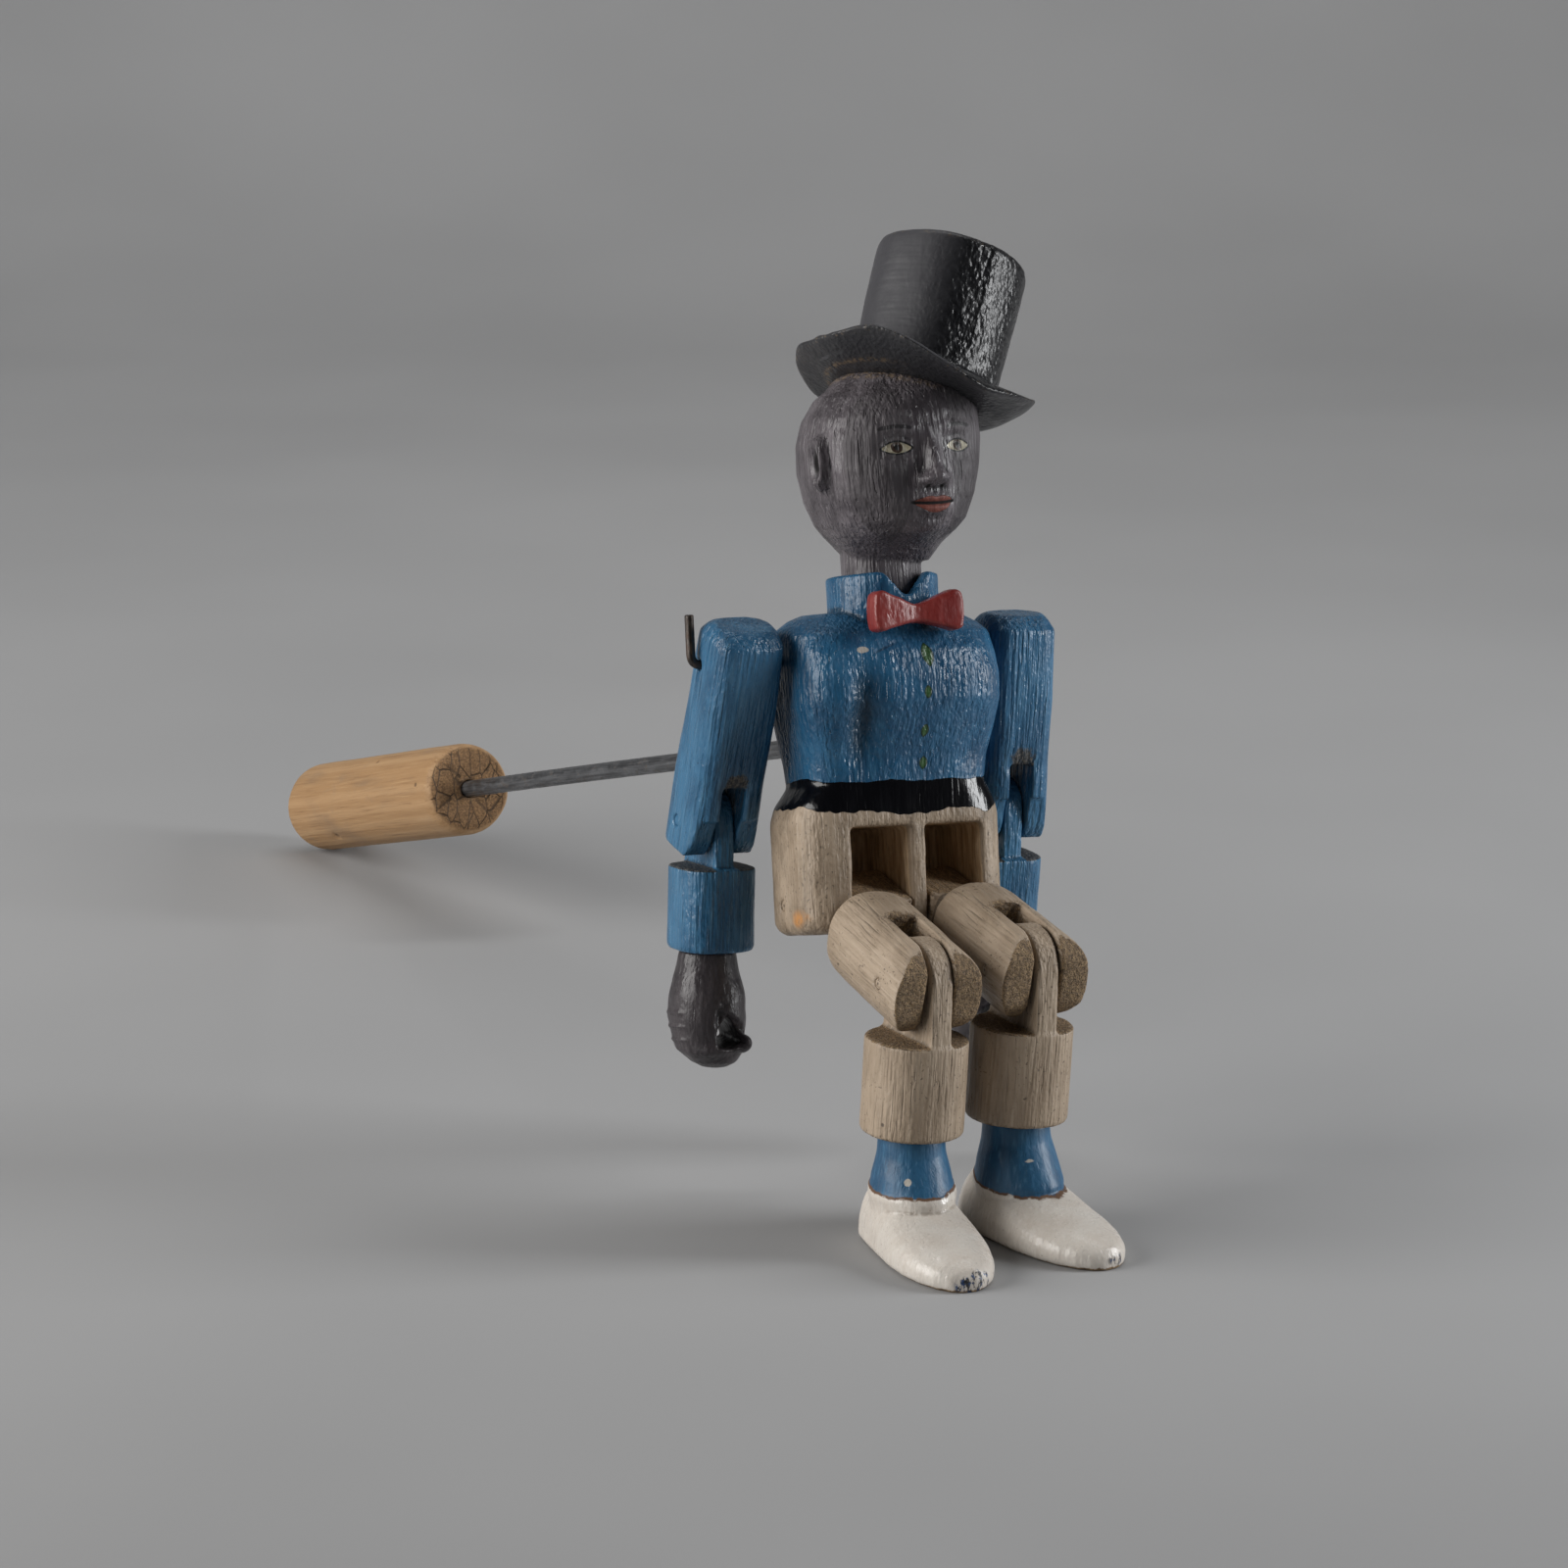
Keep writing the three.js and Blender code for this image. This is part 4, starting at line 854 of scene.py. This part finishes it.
def hat_piece():
    r, b, top, under = 18.4, 30.6, 37.2, -2.6  # radius of crown and of brim, height of top and of underside
    profile = np.array([
        (0.01, under - 0.5), (12, under - 0.5), (r + 0.6, under + 0.1), (b - 6, -1.7), (b - 2.4, -1.0),
        (b - 0.5, -0.2), (b, 0.45), (b - 0.7, 1.15), (b - 4, 1.3), (r + 1.6, 1.8), (r + 0.35, 2.6), (r, 4),
        (r + 0.1, 10), (r + 0.5, 22), (r + 0.7, top - 3.6), (r + 0.5, top - 1.7), (r - 0.4, top - 0.7),
        (r - 2.2, top - 0.25), (8, top), (0.01, top + 0.1)])
    length = np.concatenate([[0], np.cumsum(norms(np.diff(profile, axis=0)))])
    rows = int(length[-1] / (0.5 * COARSE))
    at = np.linspace(0, length[-1], rows)
    reach = np.interp(at, length, profile[:, 0])
    level = np.interp(at, length, profile[:, 1])
    kernel = np.array([1, 2, 3, 2, 1]) / 9
    reach[2:-2], level[2:-2] = np.convolve(reach, kernel, "valid"), np.convolve(level, kernel, "valid")
    around = int(260 / COARSE)
    turn = np.arange(around) * 2 * math.pi / around
    # lift of the brim's edge by the angle round the hat, from the front towards the figure's right
    marks = np.array([
        (-170, -0.2), (-148, 3.4), (-121, 6.4), (-92, 5.8), (-64, 4.3), (-35, -0.8), (-7, -5.2), (10, -3.4),
        (26, -0.4), (40, 2.4), (54, 3.9), (75, 1.2), (95, 1.4), (116, 2.5), (137, 0.8), (158, -1.2)])
    angles = np.degrees(turn)
    lift = np.interp(angles, marks[:, 0], marks[:, 1], period=360)
    soft = bell(np.minimum(angles, 360 - angles), 7.0)
    lift = np.real(np.fft.ifft(np.fft.fft(lift) * np.fft.fft(soft / soft.sum())))
    t, q = np.meshgrid(turn, reach)
    _, z = np.meshgrid(turn, level)
    where = np.degrees(t)
    past = np.clip((q - r - 1.0) / (b - r - 1.0), 0, 1)
    chipped = 1 - 0.035 * bell(where - 96, 9) - 0.02 * bell(where - 81, 4)
    q = q * np.where(past > 0.6, chipped, 1)
    x = -np.sin(t) * q + 2.5 * (1 - past)
    y = -np.cos(t) * q
    z = z + past ** 1.6 * lift[None, :]
    # the crown is cut flatter on its right and front
    crown = smooth(level, 3, 12)[:, None]
    flat = bell(where - 62, 20) + 0.6 * bell(where - 5, 22)
    x += crown * np.sin(t) * flat * 0.5
    y += crown * np.cos(t) * flat * 0.5
    faces = ring_faces(rows, around)
    faces.append(tuple(range(around)))
    faces.append(tuple(range(rows * around - 1, (rows - 1) * around - 1, -1)))
    me = solid("hat_carved", np.stack([x.ravel(), y.ravel(), z.ravel()], 1), faces)
    p, n = points_of(me), normals_of(me)
    up = smooth(n[:, 2], -0.4, 0.1) * smooth(p[:, 2], 1, 4)
    left = smooth(-p[:, 0] * 0.9 - p[:, 1] * 0.1, 4, 13)
    p = raised(p, n, noise(p, (6, 6, 9), 31, 2) * 0.22 + noise(p, 1.7, 32, 2) * 0.13 * up * (1 - 0.8 * left))
    put(me, p)
    wear_map(me)
    # smooth paint with a painted sheen of paler grey on the left side facing the key light, and more faintly
    # on the underside
    smooth_and_sheen_side = np.maximum(left * smooth(n[:, 2], -0.5, -0.1), smooth(n[:, 2], -0.1, -0.5) * 0.4)
    glued = smooth(np.abs(np.hypot(p[:, 0], p[:, 1]) - 21.3), 1.4, 0.2)
    seat = glued * smooth(p[:, 2], -0.6, -1.6) * smooth(-p[:, 0], 10, 18) * 0.6
    mark(me, {"smooth_and_sheen_side": smooth_and_sheen_side, "seat": seat})
    finish_piece("hat_carved", me, HAT, "figure", "hat", BLACK_HAT)


hat_piece()


# ---- bow tie

def tie_shape(p, n):
    x, y, z = p.T
    p = p.copy()
    middle = bell(x, 3.6)
    p[:, 2] -= middle * (smooth(z, 70.4, 71.8) * 1.1 - smooth(z, 69.2, 68.2) * 0.5)
    p[:, 1] += smooth(-y, 19.6, 22.5) * middle * 1.0
    p[:, 1] -= smooth(-y, 19.6, 22.5) * smooth(np.abs(x), 6, 10.5) * 0.35
    return raised(p, n, noise(p, 2.4, 41, 2) * 0.14)


carve("bow_tie", TRUNK, "figure", TIE, tie_shape, voxel=0.27, soften=7)


# ---- rod, handle, wire and pins

ROD_RADIUS, WIRE_RADIUS, PIN_RADIUS = 2.36, 1.13, 1.47
HANDLE_RADIUS = 13.5
# dents in the handle: angle round it, place along it, width and depth
DENTS = ((0.4, 290, 1.6, 0.5), (2.3, 352, 2.2, 0.5), (4.1, 318, 1.4, 0.4), (5.2, 372, 2.6, 0.6),
         (3.3, 276, 1.3, 0.5), (1.2, 334, 1.0, 0.4), (5.9, 300, 3.0, 0.3))
# drying cracks in its near end: angle and length in from the rim
CHECKS = ((0.9, 10), (2.6, 7), (3.9, 9), (5.4, 6))


def handle_shape(p, n):
    z = p[:, 2]
    p = raised(p, n, noise(p, (7, 7, 30), 51, 2) * 0.16)
    for a, at, wide, deep in DENTS:
        spot = np.array([HANDLE_RADIUS * math.cos(a), HANDLE_RADIUS * math.sin(a), at])
        d = norms((p - spot) * (1, 1, 0.7))
        p -= n * (smooth(d, wide, 0) * deep)[:, None]
    near = smooth(z, 268, 266.3)
    rim = HANDLE_RADIUS + 0.1
    for a, reach in CHECKS:
        inner, b = rim - reach, a + 0.15
        line = segment(p * (1, 1, 0), (rim * math.cos(a), rim * math.sin(a), 0),
                       (inner * math.cos(b), inner * math.sin(b), 0))
        p[:, 2] += near * smooth(line, 0.55, 0.05) * 0.6
    return p


def handle_masks(p, n):
    return {"end": smooth(np.abs(n[:, 2]), 0.55, 0.9)}


carve("handle", ROD_AXIS, "figure", RAW_WOOD, handle_shape, handle_masks,
      voxel=0.55, made="turned")
rod = [(0.10 * math.sin(s / 60), 0.12 * math.sin(s / 47 + 1), s) for s in np.linspace(3.3, 289.7, 200)]
sweep("rod_drawn", rod, ROD_RADIUS, ROD_AXIS, "figure", "rod", STEEL, 28)


def bend(a, b, c, steps=10):
    """A curve from a to c that leaves towards b and arrives from it."""
    a, b, c = (np.array(v, float) for v in (a, b, c))
    return [(1 - t) ** 2 * a + 2 * t * (1 - t) * b + t * t * c for t in np.linspace(0, 1, steps)]


def straight(a, b, steps):
    """The points between a and b, without the two ends."""
    a, b = np.array(a, float), np.array(b, float)
    return [a + (b - a) * t for t in np.linspace(0, 1, steps)][1:-1]


near_end, far_end = (-50.1, 2.05, 72.4), (49.1, 13.5, 71.4)
near_bend = bend((-49.95, 2.55, 62.6), (-49.9, 2.6, 60), (-47.3, 2.6, 60))
far_bend = bend((46.5, 2.6, 60), (49.1, 2.6, 60), (49.1, 4.2, 61.7))
wire = [near_end, *straight(near_end, near_bend[0], 12), *near_bend,
        *straight(near_bend[-1], far_bend[0], 60), *far_bend, *straight(far_bend[-1], far_end, 14), far_end]
sweep("shoulder_wire_bent", wire, WIRE_RADIUS, TRUNK, "figure", "shoulder_wire", WIRE, 20)


def pin(node, local, body, x0, x1, y, z, material):
    """A cross pin that fills its bore, its ends painted over but for a dark middle."""
    def masks(p):
        return {"bare": nowhere(p), "scratch": 0.55 - np.hypot(p[:, 1] - y, p[:, 2] - z)}
    line = [(x, y, z) for x in np.linspace(x0, x1, 24)]
    sweep(f"{node}_wire", line, PIN_RADIUS, local, body, node, material, masks=masks)


pin("hip_pin", TRUNK, "figure", -28.1, 26.6, 3, 0, TROUSER)


# ---- arms

def upper_arm_shape(length, seed):
    def shape(p, n):
        x, y, z = p.T
        p = knifed(p, n, 0.2, (5, 5, 12), seed)
        # the mouth of the slot chipped, the front of the lower end a little fuller
        p[:, 1] += hump(x, z, 0, -length + 12.6, 4.2, 2.2) * smooth(-y, 5, 9) * 0.8
        p[:, 1] -= smooth(z, -26, -40) * smooth(-y, 4, 8) * 0.2
        return p
    return shape


def upper_arm_masks(length):
    def masks(p, n):
        x, y, z = p.T
        smudge = 1.5 - np.hypot(x / 2.4, (z + length - 13.6) / 2.4)
        deep = np.minimum(np.minimum((3.3 - np.abs(x)) * 3, -length + 13.4 - z), 6.0 - np.abs(y))
        return {"bare": np.maximum(np.where(np.abs(y) > 6, smudge, OUTSIDE), deep * 0.5)}
    return masks


def forearm_shape(p, n):
    return knifed(p, n, 0.16, (5, 5, 9), 65)


def forearm_masks(p, n):
    x, z = p[:, 0], p[:, 2]
    top = np.where(np.abs(x) > 2.9, (z + 12.9) * 1.2, OUTSIDE)
    return {"bare": np.minimum(top, smooth(n[:, 2], 0.3, 0.8) * 3 - 1.2)}


WRIST_Z = -32.8


def hand_shape(side):
    def shape(p, n):
        x, y, z = p.T
        u, down = -side * x, z - WRIST_Z
        p = raised(p, n, noise(p, 4, 71, 2) * 0.2)
        far = norms(np.stack([u - 5.6, y + 9.4, z + 55.8], 1))
        p = p + np.exp(-(far / 2.9) ** 4)[:, None] * np.array((-side * 0.7, 0.5, 0.2))
        # thumb laid across the front below the grip, then the grip's cuts and hole
        flat, front = np.stack([u, 0 * u, down], 1), smooth(-y, 3, 7)
        p[:, 1] -= front * smooth(segment(flat, (-3.5, 0, -24.5), (5.6, 0, -22.6)), 2.8, 0.2) * 0.7
        p[:, 1] += front * smooth(segment(flat, (3.0, 0, -18.2), (7.4, 0, -20.4)), 0.8, 0.05) * 0.9
        hole = np.maximum(np.maximum(-(u + 1.6), down + 14.6 + 0.55 * (u - 1.0)), -(down + 20.6) + 0.15 * u)
        p[:, 1] += front * smooth(hole, 0.4, -1.4) * smooth(u, 7.5, 5.0) * 1.2
        p[:, 1] += front * smooth(segment(flat, (-1.2, 0, -17.5), (0.6, 0, -13.2)), 1.5, 0.1) * 0.45
        # creases between the curled fingers
        for level in (-15.5, -19.0, -22.4):
            crease = smooth(np.abs(down - level + 0.1 * y), 0.8, 0.0)
            p[:, 0] += side * smooth(-u, 5, 8) * crease * 0.5 * smooth(np.abs(y), 6, 3)
        return p
    return shape


for name, side, seed in (("right", -1, 61), ("left", 1, 63)):
    arm, low_arm, length = f"{name}_upper_arm", f"{name}_forearm", ARM_LENGTH[name]
    carve(arm, ARM[name], arm, SLEEVE, upper_arm_shape(length, seed),
          upper_arm_masks(length), voxel=0.42)
    pin(f"{name}_elbow_pin", ARM[name], arm, -9.1, 9.1, 0, -length, SLEEVE)
    carve(low_arm, FOREARM[name], low_arm, SLEEVE, forearm_shape, forearm_masks,
          voxel=0.42)
    carve(f"{name}_hand", FOREARM[name], low_arm, HAND, hand_shape(side),
          voxel=0.38, soften=5)


# ---- legs

def thigh_shape(seed):
    def shape(p, n):
        x, y, z = p.T
        p = knifed(p, n, 0.2, (5, 5, 10), seed)
        # the upper end rounded over late, close to the pelvis
        levels = (-24, -20, -18, -17)
        now_x = np.interp(z, levels, (1, 0.924, 0.81, 0.66))
        now_y = np.interp(z, levels, (1, 0.856, 0.68, 0.466))
        wanted = np.interp(z, (-24, -20, -18, -17.2), (1, 0.985, 0.94, 0.86))
        on = smooth(z, -16.4, -17.1)
        fuller = np.stack([x * wanted / now_x, y * wanted / now_y], 1)
        over = (np.abs(fuller / 11.8) ** 2.3).sum(1) ** (1 / 2.3) / wanted
        fuller /= np.maximum(over, 1)[:, None]
        p[:, :2] += on[:, None] * (fuller - np.stack([x, y], 1))
        mouth = hump(x, z, 0, -33.2, 5.5, 1.8) * smooth(np.abs(y), 6, 9)
        ragged = mouth * (0.7 + 0.6 * noise(p, 1.6, seed + 1))
        return raised(p, -n, np.clip(ragged, 0, 2) * 0.7)
    return shape


def thigh_masks(seed):
    def masks(p, n):
        x, y, z = p.T
        end = np.minimum(-52.6 - z, smooth(-n[:, 2], 0.25, 0.7) * 6 - 3) + noise(p, 3, seed + 2, 2) * 1.2
        slot = np.minimum(np.minimum((4.1 - np.abs(x)) * 3, -32.2 - z), 9.0 - np.abs(y)) * 0.5
        tongue = (z + 16.4) * 0.6
        mouth = 1.3 - np.hypot(x / 4.6, (z + 33.0) / 1.3) * np.where(np.abs(y) > 6, 1, 9)
        bare = np.maximum(np.maximum(end, slot), np.maximum(mouth, tongue))
        return {"bare": bare, "scratch": nowhere(p)}
    return masks


CALF_CUTS = {"right": ((1.0, -12.0, -19.5), (4.6, -11.4, -23.0)),
             "left": ((-5.0, -11.6, -29.7), (8.1, -9.8, -24.5))}


def calf_shape(name, seed):
    def shape(p, n):
        cut = smooth(segment(p, *CALF_CUTS[name]), 0.5, 0.0)
        return raised(knifed(p, n, 0.16, (5, 5, 12), seed), -n, cut * 0.35)
    return shape


def calf_masks(name):
    def masks(p, n):
        x, z = p[:, 0], p[:, 2]
        top = np.where(np.abs(x) > 3.1, (z + 14.7) * 1.3, OUTSIDE)
        top = np.minimum(top, smooth(n[:, 2], 0.3, 0.8) * 3 - 1.6) + noise(p, 2.4, 95, 2) * 0.8
        hem = np.minimum(-36.9 - z, 1.0) + noise(p, 1.6, 96) * 0.6
        line = segment(p, *CALF_CUTS[name])
        nick = 0.42 - line
        if name == "right":
            nick = np.maximum(0.1 - line, 0.75 - norms(p - (-11.2, -5.2, -33.4)))
        return {"bare": np.maximum(top, hem), "scratch": nick}
    return masks


def sock_line(side, p):
    """Height of the shoe's opening above the floor, all round the ankle."""
    x, y = p[:, 0], p[:, 1]
    flat = p * (1, 1, 0)
    base = 15.9 + 0.06 * x if side < 0 else 12.5 - 0.03 * x
    return base + smooth(y, -2, 8) * (1.0 if side < 0 else 2.6) + noise(flat, 4.5, 101 + side, 2) * 0.9


def foot_shape(side):
    def shape(p, n):
        z = p[:, 2]
        up = sock_line(side, p) - z
        lip = smooth(up, -0.25, 0.25) * smooth(up, 4.0, 0.8) * smooth(z, 4, 9) * smooth(n[:, 2], -0.5, 0)
        p = raised(p, n, noise(p, 7, 103 + side, 2) * 0.14 * smooth(z, 0.8, 3) + lip * 0.32)
        p[:, 2] = np.maximum(p[:, 2], 0.02)
        return p
    return shape


def foot_masks(side):
    def masks(p, n):
        z = p[:, 2]
        spot = (-4.8, -9.6, 19.3) if side < 0 else (-3.5, -9.8, 20.6)
        size = (1, 1, 1) if side < 0 else (0.5, 1, 2.2)
        wide = 1.0 if side < 0 else 0.8
        chip = wide - norms((p - spot) * size) + noise(p, 0.9, 105) * 0.3
        far = norms((p - (1.5, -37.6, 2.2)) * (0.75, 1, 1.5))
        toe = (4.6 if side < 0 else 2.6) - far + noise(p, 1.8, 107, 2) * 1.4
        return {"sock": z - sock_line(side, p), "sole": 0.75 - z, "chip": chip, "scuff": toe}
    return masks


for name, side, seed in (("right", -1, 81), ("left", 1, 87)):
    thigh, calf, foot = f"{name}_thigh", f"{name}_calf", f"{name}_foot"
    carve(thigh, THIGH[name], thigh, TROUSER, thigh_shape(seed), thigh_masks(seed))
    pin(f"{name}_knee_pin", THIGH[name], thigh, -11.5, 11.5, 0, -THIGH_LENGTH, TROUSER)
    carve(calf, CALF[name], calf, TROUSER, calf_shape(name, 91 + side), calf_masks(name))
    carve(foot, FOOT[name], calf, SHOE, foot_shape(side), foot_masks(side), soften=4)


# ---- floor, lights and camera

# the backdrop in metres: a flat floor, a quarter circle up, then a wall
FLOOR_NEAR, BEND_START, BEND_RADIUS, WALL_TOP, HALF_WIDTH = -12.0, 1.15, 0.75, 3.6, 9.0
BACKDROP_TURN = -25.9  # degrees, to face the camera


def sweep_floor():
    g = Graph("backdrop_paper")
    tone = g.noise(420, (1, 1, 1), 3, 0.5, 0, 3)
    g.colour = g.mix(g.step(tone, 0.3, 0.7), (0.345, 0.345, 0.348), (0.385, 0.385, 0.388))
    material = g.done(0.85, g.bump(g.noise(1.5, (1, 1, 1), 2, 0.5, 0, 5), 0.02), specular=0.2)
    profile = [(FLOOR_NEAR, 0.0), (BEND_START, 0.0)]
    for k in range(1, 25):
        a = math.radians(90 * k / 24)
        profile.append((BEND_START + BEND_RADIUS * math.sin(a), BEND_RADIUS * (1 - math.cos(a))))
    profile.append((BEND_START + BEND_RADIUS, WALL_TOP))
    me = bpy.data.meshes.new("backdrop")
    verts = [(x, y, z) for y, z in profile for x in (-HALF_WIDTH, HALF_WIDTH)]
    me.from_pydata(verts, [], [(2 * i, 2 * i + 1, 2 * i + 3, 2 * i + 2) for i in range(len(profile) - 1)])
    me.materials.append(material)
    me.polygons.foreach_set("use_smooth", [True] * len(me.polygons))
    obj = link("backdrop", me)
    obj.matrix_world = Matrix.Rotation(math.radians(BACKDROP_TURN), 4, "Z")


sweep_floor()

CENTRE = Vector((-0.02, -0.13, 0.11))
LOOK = Vector((0.4235, 0.8737, -0.2394)).normalized()
RIGHT = LOOK.cross(Vector((0, 0, 1))).normalized()
TOWARDS = -Vector((LOOK.x, LOOK.y, 0)).normalized()


def soft_light(name, right, towards, up, wide, high, watts, colour=(1, 1, 1), aim=CENTRE):
    """A rectangular light placed in metres from the middle of the scene, as the camera sees it."""
    data = bpy.data.lights.new(name, "AREA")
    data.shape, data.size, data.size_y = "RECTANGLE", wide, high
    data.energy, data.color = watts, colour
    obj = link(name, data)
    obj.location = CENTRE + RIGHT * right + TOWARDS * towards + Vector((0, 0, up))
    obj.rotation_mode = "QUATERNION"
    obj.rotation_quaternion = (aim - obj.location).to_track_quat("-Z", "Y")


soft_light("key", right=-1.15, towards=0.34, up=0.40, wide=1.05, high=0.9, watts=18,
           colour=(1.0, 0.985, 0.965))
soft_light("rim", right=0.98, towards=0.02, up=0.26, wide=0.26, high=0.75, watts=9,
           colour=(0.975, 0.988, 1.0))
soft_light("backdrop_light", right=0, towards=-0.55, up=1.5, wide=1.6, high=0.6, watts=16,
           aim=CENTRE - TOWARDS * 1.9 + Vector((0, 0, 0.25)))

world = bpy.data.worlds.new("studio")
world.use_nodes = True
sky = world.node_tree.nodes["Background"].inputs
sky["Color"].default_value = (0.9, 0.95, 1.0, 1)
sky["Strength"].default_value = 0.035
scene = bpy.context.scene
scene.world = world
scene.view_settings.view_transform = "Standard"

CAMERA_AT, LENS_MM, SENSOR_MM = (-0.58929, -1.30146, 0.4224), 123.6, 36
camera = bpy.data.cameras.new("camera")
camera.lens, camera.sensor_width, camera.sensor_fit = LENS_MM, SENSOR_MM, "HORIZONTAL"
camera.clip_start, camera.clip_end = 0.05, 20
eye = link("camera", camera)
eye.location = CAMERA_AT
eye.rotation_mode = "QUATERNION"
eye.rotation_quaternion = LOOK.to_track_quat("-Z", "Y")
scene.camera = eye
